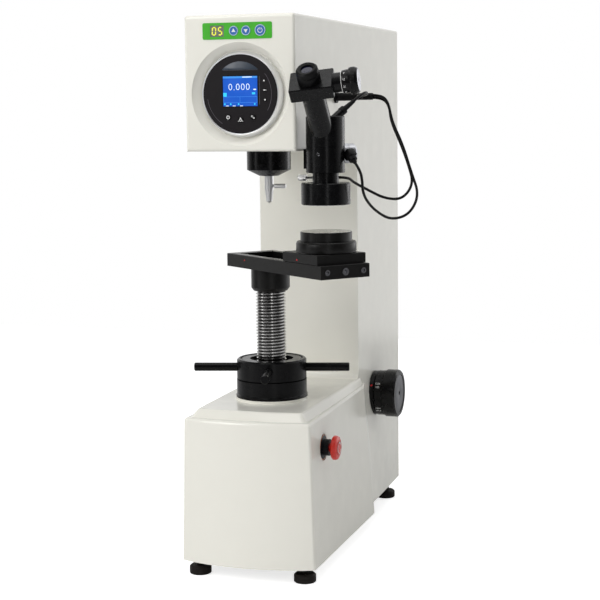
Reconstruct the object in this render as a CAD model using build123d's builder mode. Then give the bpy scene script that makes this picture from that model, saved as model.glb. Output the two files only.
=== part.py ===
"""Digital hardness tester: a C-shaped cast machine with a lever load, a screw stage and a
measuring microscope.  Millimetres, +Z up, origin on the floor under the middle of the machine."""
from build123d import *
from math import cos, degrees, radians, sin, tan
import os

os.makedirs("parts", exist_ok=True)

# ---------------------------------------------------------------- driving dimensions
mid_x = -30.0            # middle plane of the casting
front_y = -222.0         # front plane of the head
running_fit = 0.05       # radial clearance of a shaft in its bush
air_gap = 0.3            # clearance between faces that move past each other

# casting
machine_height = 700.0
body_width = 141.0
body_depth = 498.0
column_front = 272.0     # behind the head's front plane
head_bottom_z = 536.0
wall = 9.0
corner_radius = 4.0
base_bottom_z = 19.4
base_bottom_width = 176.0
base_top_width = 166.0
base_bow = 17.0          # how far the base front bulges past its corners
base_corner_y = 4.0      # base front corners, behind the head's front plane
column_foot = 12.0       # reach of the fillet at the foot of the column
base_kink_width = 151.0  # top of the base where it meets the column
shoulder_z = 203.4
plateau_z = 213.8        # top of the raised part of the base
plateau_foot = {"front_half": 76.5, "front": 9.0, "rear_half": 74.5, "rear": 280.0}
plateau_top = {"front_half": 68.0, "front": 17.5, "rear_half": 71.2, "rear": 276.0}
plateau_bow = 6.0
plateau_nose = 10.0      # length over which its sides run into the column
guard_seat_z = 217.3     # raised ring that carries the screw guard
step_y = 290.0           # where the underside steps up towards the back
step_z = 34.5
rear_bottom_z = 23.4

# screw, handwheel and stage
screw_y = 106.0          # screw and spindle axis, behind the head's front plane
screw_radius = 19.2
screw_bottom_z = 150.0
guard_radius = 45.4
guard_top_z = 240.0
wheel_radius = 45.1
wheel_top_z = 267.0
rod_radius = 5.5
rod_reach = 100.9
rod_z = 254.8
rod_turn = 13.8          # degrees
rod_count = 4
hub_radius = 24.9
hub_bottom_z = 355.1
stage_z = 384.8
stage_turn = -39.75      # degrees, long axis of the stage from +X
stage_left = 50.0        # from the screw axis to the left end
stage_length = 222.0
stage_width = 70.0
stage_height = 16.6
rail_wall = 10.0
rail_end_wall = 15.0
channel_depth = 8.0
end_plate_thickness = 6.0
slider_height = 12.0
slider_back_reach = 44.0
slider_front_reach = 33.0
holder_radius = 36.4
holder_height = 13.5
anvil_radius = 31.5
anvil_height = 11.9
anvil_stem_radius = 12.0
anvil_stem_length = 10.0

# spindle
collar_radius = 28.1
collar_bottom_z = 510.0
collar_tip_z = 502.3
collar_tip_radius = 12.5
quill_radius = 10.0
quill_top_z = 597.0
nose_radius = 5.8
nose_bottom_z = 484.0
indenter_tip_z = 467.2
ball_radius = 0.8
clamp_screw_z = 489.0
clamp_screw_reach = 22.4
clamp_screw_radius = 2.7

# display on the head
gauge_z = 605.0
dish_radius = 62.0
dish_depth = 13.0
gauge_radius = 52.0
gauge_face_radius = 47.6
gauge_face_y = 2.5
gauge_body_depth = 60.0
screen_width = 44.5
screen_height = 36.4
screen_z = 608.4
panel_x = -1.8
panel_z = 680.4
panel_width = 88.5
panel_height = 19.8
panel_thickness = 1.2

# microscope
scope_reach = 131.0      # from the screw axis, along the stage
tube_radius = 23.5
scope_bottom_z = 509.9
scope_joint_z = 540.9
scope_top_z = 577.7
optical_cross_z = 545.5  # where the inclined axis leaves the upright one
eyepiece_tilt = 40.0     # degrees from upright, towards the front
head_roll = 9.3          # degrees, how far the measuring head is turned on its tube
inclined_radius = 13.8
box_near = 79.5          # along the inclined axis
box_far = 97.0
box_width = 51.4
box_height = 35.4
box_shift = 1.8
eyepiece_far = 114.0
eyepiece_radius = 13.4
sleeve_radius = 11.5
drum_near = 37.0         # along the drum axis, from the inclined axis
drum_far = 54.0
drum_cap_far = 57.0
drum_radius = 15.6
neck_radius = 15.9
ring_light_radius = 29.8
ring_light_bottom_z = 471.5
ring_light_top_z = 497.6
objective_radius = 13.4
cable_radius = 1.7

# load dial and stop button on the right side
dial_y = 353.0
dial_z = 180.3
dial_seat_x = 71.5       # from the middle plane
dial_flange_radius = 31.3
dial_flange_thickness = 6.0
dial_radius = 33.8
dial_skirt_radius = 32.0
dial_face_x = 109.0
dial_shaft_radius = 6.0
stop_y = 62.0
stop_z = 162.5
stop_seat_x = 81.0
stop_ring_radius = 16.0
stop_cap_radius = 15.3
stop_face_x = 103.5
stop_travel = 4.0
stop_head_x = 95.5
stop_neck_radius = 10.5
stop_stem_radius = 5.0
groove_x = 88.8
dial_face_radius = 27.0

# load train inside
fulcrum_y = 86.0
lever_ratio = 15.0
lever_z = 612.0
lever_height = 24.0
lever_width = 26.0
lever_pad_radius = 3.0
weight_radius = 50.0
weight_thickness = 18.0
weight_count = 4
weight_bottom_z = 70.0
hanger_pin_radius = 4.0
stirrup_height = 50.0

# feet
foot_radius = 14.0
foot_height = 11.0
foot_front_x = 69.9
foot_front_y = 18.8
foot_rear_x = 60.0
foot_rear_y = 457.0
stud_radius = 5.0
nut_height = 4.0

# head details
panel_corner = 2.0
panel_sink = 0.6
window_x = -27.5
window_width = 17.8
window_height = 13.6
panel_keys = {"up": (-6.2, 5.8), "down": (9.5, 5.8), "start": (27.6, 6.8)}
gauge_keys = {"side_1": (30.5, 620.9, 2.4), "side_2": (31.7, 609.4, 2.4), "side_3": (31.6, 597.7, 2.4),
              "round_1": (-15.9, 577.2, 3.8), "round_2": (0.0, 574.0, 3.8), "round_3": (15.9, 577.2, 3.8)}
key_gap = 0.25
key_travel = 0.4
face_thickness = 3.5
screen_thickness = 2.0
gauge_can_radius = 46.0
guide_radius = 14.0
guide_top_z = 575.0
quill_shoulder_z = 508.0
stem_radius = 3.2
stem_length = 13.0
tip_radius = 3.84
clamp_shank_radius = 1.5

# microscope fittings and cable plugs
lamp_z = 532.5
lamp_turn = 35.0         # degrees from +X
lamp_radius = 11.8
lamp_reach = 38.0
lamp_spigot_radius = 7.0
lamp_plug_x = 28.1
lamp_plug_y = 5.2
lamp_plug_run = (0.598, -0.363, -0.714)
top_plug_x = 13.0
top_plug_y = 6.0
top_plug_run = (0.507, 0.647, 0.571)
boss_length = 6.0
top_boss_length = 7.6
plug_boss_radius = 4.6
light_bore = 11.0
lens_radius = 7.0
drum_stem_radius = 6.0
objective_bottom_z = 478.0
ring_screw_z = 503.6
ring_screw_neck = 24.5
ring_screw_reach = 34.7
ring_screw_radius = 3.5
ring_cable_turn = 45.0
cable_seat = 3.0
bracket_bottom_z = 514.0
bracket_height = 24.0
bracket_front_y = 30.0
bracket_tip_y = 50.0
bracket_rear_y = 62.0
socket_y = 168.0
socket_z = 601.3
socket_radius = 6.0
fulcrum_radius = 6.0
branch_length = 13.5
splitter_radius = 4.4
splitter_far = 50.9
split_y = 1.3
split_z = 1.6
plug_body_far = 21.5
plug_nut_radius = 5.2
plug_nut_length = 5.5
lamp_plug_length = 9.5
top_plug_length = 23.4
branch_x = 108.0

# covers, bosses and small parts
cover_width = 116.0
cover_thickness = 3.0
cover_lap = 8.0
cover_gap = 0.2
rear_cover_z = 360.0
rear_cover_height = 600.0
top_cover_y = 250.0
top_cover_length = 460.0
inlet_x = 26.0
inlet_drop = -235.0
inlet_width = 28.0
inlet_height = 24.0
inlet_depth = 22.0
rocker_radius = 11.6
rocker_sink = 5.0
vent_pitch = 12.0
vent_count = 6
vent_length = 60.0
vent_width = 4.0
screw_head_radius = 3.5
screw_head_height = 2.0
boss_radius = 12.0
boss_height = 26.0
nut_radius = 8.0
spigot_radius = 14.0
bearing_radius = 34.0
bearing_height = 8.0
wheel_well_radius = 28.0
rod_root = 30.0
end_screw_radius = 3.6
stop_screw_radius = 4.6
end_screw_spread = 26.0
stop_body_radius = 12.0

# ---------------------------------------------------------------- worked-out places
half_width = body_width / 2
rear_y = front_y + body_depth
column_y = front_y + column_front
spindle_y = front_y + screw_y
stage_run = Vector(cos(radians(stage_turn)), sin(radians(stage_turn)), 0)
scope_x = mid_x + scope_reach * stage_run.X
scope_y = spindle_y + scope_reach * stage_run.Y
stage_top_z = stage_z + stage_height
holder_z = stage_top_z + air_gap + slider_height
anvil_z = holder_z + holder_height


def at(x, y, z):
    """Point given from the middle plane, the head's front plane and the floor."""
    return Vector(mid_x + x, front_y + y, z)


def half_section(axis_plane):
    """Plane whose X is the radius and whose Y runs along the axis of axis_plane."""
    return Plane(origin=axis_plane.origin, x_dir=axis_plane.x_dir, z_dir=-axis_plane.y_dir)


def turned(name, axis_plane, outline):
    """A turned piece: outline is (radius, height) points about the axis of axis_plane."""
    with BuildPart() as piece:
        with BuildSketch(half_section(axis_plane)):
            with BuildLine():
                Polyline(*outline, close=True)
            make_face()
        revolve(axis=Axis(axis_plane.origin, axis_plane.z_dir))
    piece.part.label = name
    return piece


def save(piece, name):
    """Label a finished piece and write it."""
    piece.part.label = name
    export_step(piece.part, f"parts/{name}.step")


upward = (Align.CENTER, Align.CENTER, Align.MIN)
screw_axis = Plane(origin=(mid_x, spindle_y, 0))
scope_axis = Plane(origin=(scope_x, scope_y, 0))
stage_plane = Plane(origin=(mid_x, spindle_y, stage_z), x_dir=stage_run, z_dir=(0, 0, 1))
gauge_axis = Plane(origin=at(0, 0, gauge_z), x_dir=(1, 0, 0), z_dir=(0, -1, 0))
panel_bed = Plane(origin=at(panel_x, 0, panel_z), x_dir=(1, 0, 0), z_dir=(0, -1, 0))
rear_face = Plane(origin=at(0, body_depth, rear_cover_z), x_dir=(-1, 0, 0), z_dir=(0, 1, 0))
dial_axis = Plane(origin=at(0, dial_y, dial_z), x_dir=(0, 1, 0), z_dir=(1, 0, 0))
fulcrum_axis = Plane(origin=at(0, fulcrum_y, lever_z), x_dir=(0, 1, 0), z_dir=(1, 0, 0))
stop_axis = Plane(origin=at(0, stop_y, stop_z), x_dir=(0, 1, 0), z_dir=(1, 0, 0))
rear_slope = (step_z - rear_bottom_z) / (body_depth - step_y)
rear_underside = step_z - rear_slope * (foot_rear_y - step_y)
foot_places = ((foot_front_x, foot_front_y, base_bottom_z), (foot_rear_x, foot_rear_y, rear_underside))

# ---------------------------------------------------------------- casting
def base_plan(width, kink_width, past_kink_width, bow):
    """Closed outline of the base seen from above."""
    half, kink, past_kink = width / 2, kink_width / 2, past_kink_width / 2
    kink_y, past_kink_y = step_y - plateau_nose, step_y + plateau_nose
    with BuildLine() as outline:
        ThreePointArc(at(-half, base_corner_y, 0), at(0, base_corner_y - bow, 0),
                      at(half, base_corner_y, 0))
        Polyline(at(half, base_corner_y, 0), at(kink, kink_y, 0), at(past_kink, past_kink_y, 0),
                 at(half_width, body_depth, 0), at(-half_width, body_depth, 0),
                 at(-past_kink, past_kink_y, 0), at(-kink, kink_y, 0), at(-half, base_corner_y, 0))
    return outline.line


def plateau_plan(front_half, front, rear_half, rear):
    """Closed outline of the raised part of the base seen from above."""
    nose = half_width - 1
    with BuildLine() as outline:
        ThreePointArc(at(-front_half, front, 0), at(0, front - plateau_bow, 0),
                      at(front_half, front, 0))
        Polyline(at(front_half, front, 0), at(rear_half, rear, 0), at(nose, rear + plateau_nose, 0),
                 at(-nose, rear + plateau_nose, 0), at(-rear_half, rear, 0),
                 at(-front_half, front, 0))
    return outline.line


with BuildPart() as body_casting:
    # flared base with its bowed front
    with BuildSketch(Plane.XY.offset(base_bottom_z)) as lower_plan:
        with BuildLine():
            add(base_plan(base_bottom_width, base_bottom_width, base_bottom_width - 2, base_bow))
        make_face()
        fillet(lower_plan.vertices().group_by(Axis.Y)[0], corner_radius)
    with BuildSketch(Plane.XY.offset(shoulder_z)) as upper_plan:
        with BuildLine():
            add(base_plan(base_top_width, base_kink_width, body_width, base_bow * 0.6))
        make_face()
        fillet(upper_plan.vertices().group_by(Axis.Y)[0], corner_radius)
    loft(ruled=True)
    shoulder = body_casting.faces().sort_by(Axis.Z)[-1].edges()
    fillet([e for e in shoulder if e.center().Y < front_y + step_y - plateau_nose], corner_radius)
    # raised plateau, and the ring on it that carries the screw guard
    for height, plan, round_radius in ((shoulder_z, plateau_foot, corner_radius * 2),
                                       (plateau_z, plateau_top, corner_radius)):
        with BuildSketch(Plane.XY.offset(height)) as level:
            with BuildLine():
                add(plateau_plan(**plan))
            make_face()
            fillet(level.vertices().group_by(Axis.Y)[0], round_radius)
    loft(ruled=True)
    rim = body_casting.faces().filter_by(Axis.Z).sort_by(Axis.Z)[-1].edges()
    fillet([e for e in rim if e.center().Y < column_y - column_foot], corner_radius)
    with Locations(screw_axis.offset(plateau_z)):
        Cylinder(guard_radius + 1, guard_seat_z - plateau_z, align=upward)
    # column and head
    with BuildSketch(Plane.YZ.offset(mid_x)) as side_profile:
        with BuildLine():
            Polyline((front_y, machine_height), (front_y, head_bottom_z),
                     (column_y, head_bottom_z), (column_y, plateau_z),
                     (column_y - column_foot, plateau_z), (column_y - column_foot, shoulder_z - 10),
                     (column_y, step_z + 10), (rear_y, step_z + 10), (rear_y, machine_height),
                     close=True)
        make_face()
        inner_corners = [v for v in side_profile.vertices() if abs(v.X - column_y) < 1
                         and v.Y > plateau_z - 1]
        fillet(inner_corners, column_foot - 2)
    extrude(amount=half_width, both=True)
    head_edges = [e for e in body_casting.edges()
                  if abs(e.center().Y - front_y) < 0.5 and e.center().Z > head_bottom_z - 1]
    top_edges = [e for e in body_casting.edges().filter_by(Axis.Y)
                 if abs(e.center().Z - machine_height) < 0.5 and e.length > column_front]
    fillet(head_edges + top_edges, corner_radius)
    # underside raised behind the step
    with BuildSketch(Plane.YZ.offset(mid_x)):
        with BuildLine():
            Polyline((front_y + step_y, 0), (front_y + step_y, step_z), (rear_y + 1, rear_bottom_z),
                     (rear_y + 1, 0), close=True)
        make_face()
    extrude(amount=base_bottom_width, both=True, mode=Mode.SUBTRACT)
    # hollow base, column and head, joined inside
    with BuildSketch(Plane.XY.offset(base_bottom_z)):
        with BuildLine():
            Polyline(at(-half_width, wall * 1.6, 0), at(half_width, wall * 1.6, 0),
                     at(half_width - wall, step_y, 0), at(half_width - wall, body_depth - wall, 0),
                     at(wall - half_width, body_depth - wall, 0),
                     at(wall - half_width, step_y, 0), close=True)
        make_face()
    extrude(amount=shoulder_z - base_bottom_z, mode=Mode.SUBTRACT)
    with BuildSketch(Plane.YZ.offset(mid_x)):
        with BuildLine():
            Polyline((front_y + wall + dish_depth + 2, machine_height - wall),
                     (front_y + wall + dish_depth + 2, head_bottom_z + wall),
                     (front_y + column_front + wall, head_bottom_z + wall),
                     (front_y + column_front + wall, step_z + 10),
                     (rear_y - wall, step_z + 10), (rear_y - wall, machine_height - wall), close=True)
        make_face()
    extrude(amount=half_width - wall, both=True, mode=Mode.SUBTRACT)
    # dish, panel bed and bores in the head
    with BuildSketch(half_section(gauge_axis)):
        with BuildLine():
            Polyline((0, 1), (dish_radius + 1, 1), (dish_radius, 0), (gauge_radius + 1, -dish_depth),
                     (gauge_can_radius, -dish_depth), (gauge_can_radius, -wall * 4), (0, -wall * 4),
                     close=True)
        make_face()
    revolve(axis=Axis(gauge_axis.origin, gauge_axis.z_dir), mode=Mode.SUBTRACT)
    with BuildSketch(panel_bed):
        RectangleRounded(panel_width, panel_height, panel_corner)
    extrude(amount=-panel_sink, mode=Mode.SUBTRACT)
    with Locations(screw_axis.offset(head_bottom_z)):
        Cylinder(guide_radius, wall * 4, mode=Mode.SUBTRACT)
    with Locations(screw_axis.offset(guard_seat_z)):
        Cylinder(screw_radius + 1, wall * 6, mode=Mode.SUBTRACT)
    # flat seats and bores for the dial and the stop button
    with Locations(dial_axis.offset(dial_seat_x)):
        Cylinder(dial_flange_radius + 1, wall * 3, align=upward, mode=Mode.SUBTRACT)
        Cylinder(dial_shaft_radius + running_fit, wall * 5, mode=Mode.SUBTRACT)
    with Locations(stop_axis.offset(stop_seat_x)):
        Cylinder(stop_ring_radius + 1, wall * 3, align=upward, mode=Mode.SUBTRACT)
        Cylinder(stop_body_radius, wall * 5, mode=Mode.SUBTRACT)
    # openings closed by the covers
    with BuildSketch(rear_face):
        Rectangle(cover_width + 2 * cover_gap, rear_cover_height + 2 * cover_gap)
    extrude(amount=-cover_thickness, mode=Mode.SUBTRACT)
    with BuildSketch(rear_face):
        Rectangle(cover_width - 2 * cover_lap, rear_cover_height - 2 * cover_lap)
    extrude(amount=-wall * 2, mode=Mode.SUBTRACT)
    with BuildSketch(Plane(at(0, top_cover_y, machine_height))):
        Rectangle(cover_width + 2 * cover_gap, top_cover_length + 2 * cover_gap)
    extrude(amount=-cover_thickness, mode=Mode.SUBTRACT)
    with BuildSketch(Plane(at(0, top_cover_y, machine_height))):
        Rectangle(cover_width - 2 * cover_lap, top_cover_length - 2 * cover_lap)
    extrude(amount=-wall * 2, mode=Mode.SUBTRACT)
    # bosses for the levelling feet
    for side in (-1, 1):
        for foot_x, foot_y, underside in foot_places:
            with BuildSketch(Plane(at(side * foot_x, foot_y, underside))):
                Circle(boss_radius)
            extrude(amount=boss_height)
            with BuildSketch(Plane(at(side * foot_x, foot_y, underside))):
                Circle(stud_radius)
            extrude(amount=boss_height - wall / 2, mode=Mode.SUBTRACT)
            with BuildSketch(Plane(at(side * foot_x, foot_y, underside))):
                Circle(nut_radius + 1)
            extrude(amount=-nut_height, mode=Mode.SUBTRACT)
    # hole for the cable socket and the bar the lever turns on
    with Locations(Plane(origin=at(half_width, socket_y, socket_z), z_dir=(1, 0, 0))):
        Cylinder(socket_radius + running_fit, wall * 4, mode=Mode.SUBTRACT)
    with BuildSketch(fulcrum_axis):
        Circle(fulcrum_radius)
    extrude(amount=half_width - wall / 2, both=True)
save(body_casting, "body_casting")

# ---------------------------------------------------------------- covers and screws
with BuildPart() as top_cover:
    with BuildSketch(Plane(at(0, top_cover_y, machine_height - cover_thickness))):
        RectangleRounded(cover_width, top_cover_length, cover_thickness)
    extrude(amount=cover_thickness)
    fillet(top_cover.faces().sort_by(Axis.Z)[-1].edges(), cover_thickness / 4)
    with BuildSketch(Plane(at(0, top_cover_y, machine_height))):
        with GridLocations(cover_width - cover_lap * 2, (top_cover_length - cover_lap * 2) / 2, 2, 3):
            Circle(screw_head_radius + cover_gap)
    extrude(amount=-screw_head_height, mode=Mode.SUBTRACT)
save(top_cover, "top_cover")

with BuildPart() as rear_cover:
    with BuildSketch(rear_face.offset(-cover_thickness)):
        RectangleRounded(cover_width, rear_cover_height, cover_thickness)
        with Locations((inlet_x, inlet_drop)):
            Rectangle(inlet_width, inlet_height, mode=Mode.SUBTRACT)
        with Locations((-inlet_x, inlet_drop)):
            Rectangle(inlet_width, inlet_height, mode=Mode.SUBTRACT)
        with GridLocations(0, vent_pitch, 1, vent_count):
            SlotOverall(vent_length, vent_width, mode=Mode.SUBTRACT)
    extrude(amount=cover_thickness)
save(rear_cover, "rear_cover")

cover_screw_z = rear_cover_height - 2 * cover_lap + cover_lap
with BuildPart() as cover_screws:
    with BuildSketch(rear_face):
        with GridLocations(cover_width - cover_lap, cover_screw_z / 3, 2, 4):
            Circle(screw_head_radius)
    extrude(amount=screw_head_height, taper=20)
    with BuildSketch(Plane(at(0, top_cover_y, machine_height))):
        with GridLocations(cover_width - cover_lap * 2, (top_cover_length - cover_lap * 2) / 2, 2, 3):
            Circle(screw_head_radius)
    extrude(amount=-screw_head_height)
save(cover_screws, "cover_screws")

# ---------------------------------------------------------------- levelling feet
with BuildPart() as levelling_feet:
    for side in (-1, 1):
        for foot_x, foot_y, underside in foot_places:
            foot_axis = Plane(at(side * foot_x, foot_y, 0))
            with BuildSketch(half_section(foot_axis)):
                with BuildLine():
                    Polyline((0, 0), (foot_radius - 1, 0), (foot_radius, 1),
                             (foot_radius, foot_height - 2), (foot_radius - 2, foot_height),
                             (stud_radius, foot_height), (stud_radius, underside - nut_height),
                             (nut_radius, underside - nut_height), (nut_radius, underside),
                             (stud_radius, underside), (stud_radius, underside + boss_height / 2),
                             (0, underside + boss_height / 2), close=True)
                make_face()
            revolve(axis=Axis(foot_axis.origin, foot_axis.z_dir))
save(levelling_feet, "levelling_feet")

# ---------------------------------------------------------------- key panel
with BuildPart() as panel_plate:
    with BuildSketch(panel_bed.offset(-panel_sink)):
        RectangleRounded(panel_width, panel_height, panel_corner)
        for key_x, key_radius in panel_keys.values():
            with Locations((key_x - panel_x, 0)):
                Circle(key_radius + key_gap, mode=Mode.SUBTRACT)
    extrude(amount=panel_thickness)
    with BuildSketch(panel_bed.offset(panel_thickness - panel_sink)):
        with Locations((window_x - panel_x, 0)):
            Rectangle(window_width, window_height)
    extrude(amount=-panel_thickness / 2, mode=Mode.SUBTRACT)
save(panel_plate, "panel_plate")

for key_name, (key_x, key_radius) in panel_keys.items():
    with BuildPart() as panel_key:
        with BuildSketch(panel_bed.offset(key_travel - panel_sink + 0.1)):
            with Locations((key_x - panel_x, 0)):
                Circle(key_radius)
        extrude(amount=panel_thickness)
        fillet(panel_key.faces().sort_by(Axis.Y)[0].edges(), panel_thickness / 3)
    save(panel_key, f"panel_key_{key_name}")

# ---------------------------------------------------------------- round display
can_front = -gauge_face_y - face_thickness
save(turned("gauge_housing", gauge_axis,
            [(0, can_front), (gauge_face_radius, can_front), (gauge_face_radius, -dish_depth),
             (gauge_can_radius, -dish_depth), (gauge_can_radius, -gauge_body_depth + 3),
             (gauge_can_radius - 3, -gauge_body_depth), (0, -gauge_body_depth)]), "gauge_housing")
save(turned("gauge_bezel", gauge_axis,
            [(gauge_face_radius, -dish_depth), (gauge_radius, -dish_depth),
             (gauge_radius, -dish_depth + 3), (gauge_face_radius + 2.2, -gauge_face_y - 1),
             (gauge_face_radius + 1, -gauge_face_y + 0.5), (gauge_face_radius, -gauge_face_y)]),
     "gauge_bezel")

with BuildPart() as gauge_face:
    with BuildSketch(gauge_axis.offset(-gauge_face_y)):
        Circle(gauge_face_radius)
    extrude(amount=-face_thickness)
    with BuildSketch(gauge_axis.offset(-gauge_face_y)):
        with Locations((0, screen_z - gauge_z)):
            Rectangle(screen_width, screen_height)
    extrude(amount=-screen_thickness, mode=Mode.SUBTRACT)
    with BuildSketch(gauge_axis.offset(-gauge_face_y)):
        for key_x, key_z, key_radius in gauge_keys.values():
            with Locations((key_x, key_z - gauge_z)):
                Circle(key_radius + key_gap)
    extrude(amount=-face_thickness, mode=Mode.SUBTRACT)
save(gauge_face, "gauge_face")

with BuildPart() as gauge_screen:
    with BuildSketch(gauge_axis.offset(-gauge_face_y - screen_thickness)):
        with Locations((0, screen_z - gauge_z)):
            Rectangle(screen_width, screen_height)
    extrude(amount=screen_thickness)
save(gauge_screen, "gauge_screen")

for key_name, (key_x, key_z, key_radius) in gauge_keys.items():
    with BuildPart() as gauge_key:
        with BuildSketch(gauge_axis.offset(-gauge_face_y - face_thickness + key_travel + 0.1)):
            with Locations((key_x, key_z - gauge_z)):
                Circle(key_radius)
        extrude(amount=face_thickness)
        fillet(gauge_key.faces().sort_by(Axis.Y)[0].edges(), key_radius / 4)
    save(gauge_key, f"gauge_key_{key_name}")

# ---------------------------------------------------------------- spindle and indenter
save(turned("spindle_collar", screw_axis,
            [(nose_radius + 0.2, collar_tip_z), (collar_tip_radius, collar_tip_z),
             (collar_radius, collar_bottom_z), (collar_radius, head_bottom_z),
             (guide_radius, head_bottom_z), (guide_radius, guide_top_z),
             (quill_radius + running_fit, guide_top_z),
             (quill_radius + running_fit, quill_shoulder_z - 0.1),
             (nose_radius + 0.2, quill_shoulder_z - 0.1)]), "spindle_collar")

clamp_axis = Plane(origin=(mid_x, spindle_y, clamp_screw_z), x_dir=(0, 1, 0), z_dir=(1, 0, 0))
with BuildPart() as spindle:
    with BuildSketch(half_section(screw_axis)):
        with BuildLine():
            Polyline((0, nose_bottom_z), (nose_radius, nose_bottom_z),
                     (nose_radius, quill_shoulder_z), (quill_radius, quill_shoulder_z),
                     (quill_radius, quill_top_z), (0, quill_top_z), close=True)
        make_face()
    revolve(axis=Axis(screw_axis.origin, screw_axis.z_dir))
    with Locations(screw_axis.offset(nose_bottom_z)):
        Cylinder(stem_radius, stem_length, align=upward, mode=Mode.SUBTRACT)
    with Locations(clamp_axis):
        Cylinder(clamp_shank_radius + 0.1, clamp_screw_reach, align=upward, mode=Mode.SUBTRACT)
    chamfer(spindle.edges().sort_by(Axis.Z)[-1], 1)
save(spindle, "spindle")

with BuildPart() as indenter:
    with BuildSketch(half_section(screw_axis)):
        with BuildLine():
            Polyline((0, indenter_tip_z + ball_radius), (ball_radius, indenter_tip_z + ball_radius),
                     (tip_radius * 0.45, indenter_tip_z + ball_radius),
                     (tip_radius, indenter_tip_z + 2.4), (nose_radius - 0.4, nose_bottom_z - 1),
                     (nose_radius - 0.4, nose_bottom_z), (stem_radius, nose_bottom_z),
                     (stem_radius, nose_bottom_z + stem_length - 0.5),
                     (0, nose_bottom_z + stem_length - 0.5), close=True)
        make_face()
    revolve(axis=Axis(screw_axis.origin, screw_axis.z_dir))
    with Locations(screw_axis.offset(indenter_tip_z + ball_radius)):
        Sphere(ball_radius)
save(indenter, "indenter")

save(turned("indenter_screw", clamp_axis,
            [(0, stem_radius + 0.2), (clamp_shank_radius, stem_radius + 0.2),
             (clamp_shank_radius, nose_radius + 1.2), (clamp_screw_radius * 0.7, nose_radius + 1.2),
             (clamp_screw_radius, nose_radius + 2), (clamp_screw_radius, clamp_screw_reach - 0.6),
             (clamp_screw_radius - 0.6, clamp_screw_reach), (0, clamp_screw_reach)]),
     "indenter_screw")

# ---------------------------------------------------------------- screw, guard and handwheel
with BuildPart() as lead_screw:
    with BuildSketch(half_section(screw_axis)):
        with BuildLine():
            Polyline((0, screw_bottom_z), (screw_radius - 2, screw_bottom_z),
                     (screw_radius, screw_bottom_z + 2), (screw_radius, hub_bottom_z),
                     (spigot_radius, hub_bottom_z), (spigot_radius, stage_z - 3), (0, stage_z - 3),
                     close=True)
        make_face()
    revolve(axis=Axis(screw_axis.origin, screw_axis.z_dir))
save(lead_screw, "lead_screw")

bush_radius = screw_radius + running_fit
save(turned("screw_guard", screw_axis,
            [(bush_radius + 1, guard_seat_z), (guard_radius + 1, guard_seat_z),
             (guard_radius + 1, guard_seat_z + 3), (guard_radius, guard_seat_z + 4),
             (guard_radius, guard_top_z), (bearing_radius, guard_top_z),
             (bearing_radius, guard_top_z - bearing_height), (bush_radius + 1, guard_top_z - bearing_height)]),
     "screw_guard")
save(turned("thrust_bearing", screw_axis,
            [(bush_radius + 1, guard_top_z - bearing_height),
             (bearing_radius, guard_top_z - bearing_height), (bearing_radius, guard_top_z),
             (bush_radius + 1, guard_top_z)]), "thrust_bearing")

with BuildPart() as handwheel:
    wheel_bottom = guard_top_z + air_gap
    with BuildSketch(half_section(screw_axis)):
        with BuildLine():
            Polyline((bush_radius, wheel_bottom), (wheel_radius - 1.2, wheel_bottom),
                     (wheel_radius, wheel_bottom + 1.2), (wheel_radius, wheel_top_z - 2),
                     (wheel_radius - 2, wheel_top_z), (wheel_radius - 4.5, wheel_top_z),
                     (wheel_radius - 4.5, wheel_top_z - 1.6), (wheel_radius - 6.5, wheel_top_z - 1.6),
                     (wheel_radius - 6.5, wheel_top_z - 0.6), (wheel_well_radius, wheel_top_z - 0.6),
                     (wheel_well_radius, wheel_top_z - 5), (bush_radius, wheel_top_z - 5), close=True)
        make_face()
    revolve(axis=Axis(screw_axis.origin, screw_axis.z_dir))
    for rod in range(rod_count):
        rod_axis = Plane(origin=(mid_x, spindle_y, rod_z), x_dir=(0, 0, 1),
                         z_dir=Vector(1, 0, 0).rotate(Axis.Z, rod_turn + rod * 360 / rod_count))
        with Locations(rod_axis.offset(rod_root)):
            Cylinder(rod_radius, wheel_radius, align=upward, mode=Mode.SUBTRACT)
save(handwheel, "handwheel")

with BuildPart() as handwheel_rods:
    for rod in range(rod_count):
        rod_axis = Plane(origin=(mid_x, spindle_y, rod_z), x_dir=(0, 0, 1),
                         z_dir=Vector(1, 0, 0).rotate(Axis.Z, rod_turn + rod * 360 / rod_count))
        with BuildSketch(half_section(rod_axis)):
            with BuildLine():
                Polyline((0, rod_root), (rod_radius, rod_root), (rod_radius, rod_reach - 1),
                         (rod_radius - 1, rod_reach), (0, rod_reach), close=True)
            make_face()
        revolve(axis=Axis(rod_axis.origin, rod_axis.z_dir))
save(handwheel_rods, "handwheel_rods")

# ---------------------------------------------------------------- sliding stage
save(turned("stage_hub", screw_axis,
            [(screw_radius - 5, hub_bottom_z), (hub_radius - 3, hub_bottom_z),
             (hub_radius, hub_bottom_z + 4), (hub_radius, stage_z), (0, stage_z),
             (0, stage_z - 3), (spigot_radius, stage_z - 3), (spigot_radius, hub_bottom_z)]),
     "stage_hub")

rail_length = stage_length - end_plate_thickness
with BuildPart() as stage_rail:
    with BuildSketch(stage_plane):
        with Locations((rail_length / 2 - stage_left, 0)):
            Rectangle(rail_length, stage_width)
    extrude(amount=stage_height)
    chamfer(stage_rail.faces().sort_by(Axis.Z)[-1].edges(), 0.6)
    with BuildSketch(stage_plane.offset(stage_height - channel_depth)):
        with Locations((rail_length / 2 - stage_left + rail_end_wall / 2, 0)):
            Rectangle(rail_length - rail_end_wall, stage_width - 2 * rail_wall)
    extrude(amount=channel_depth, mode=Mode.SUBTRACT)
save(stage_rail, "stage_rail")

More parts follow.
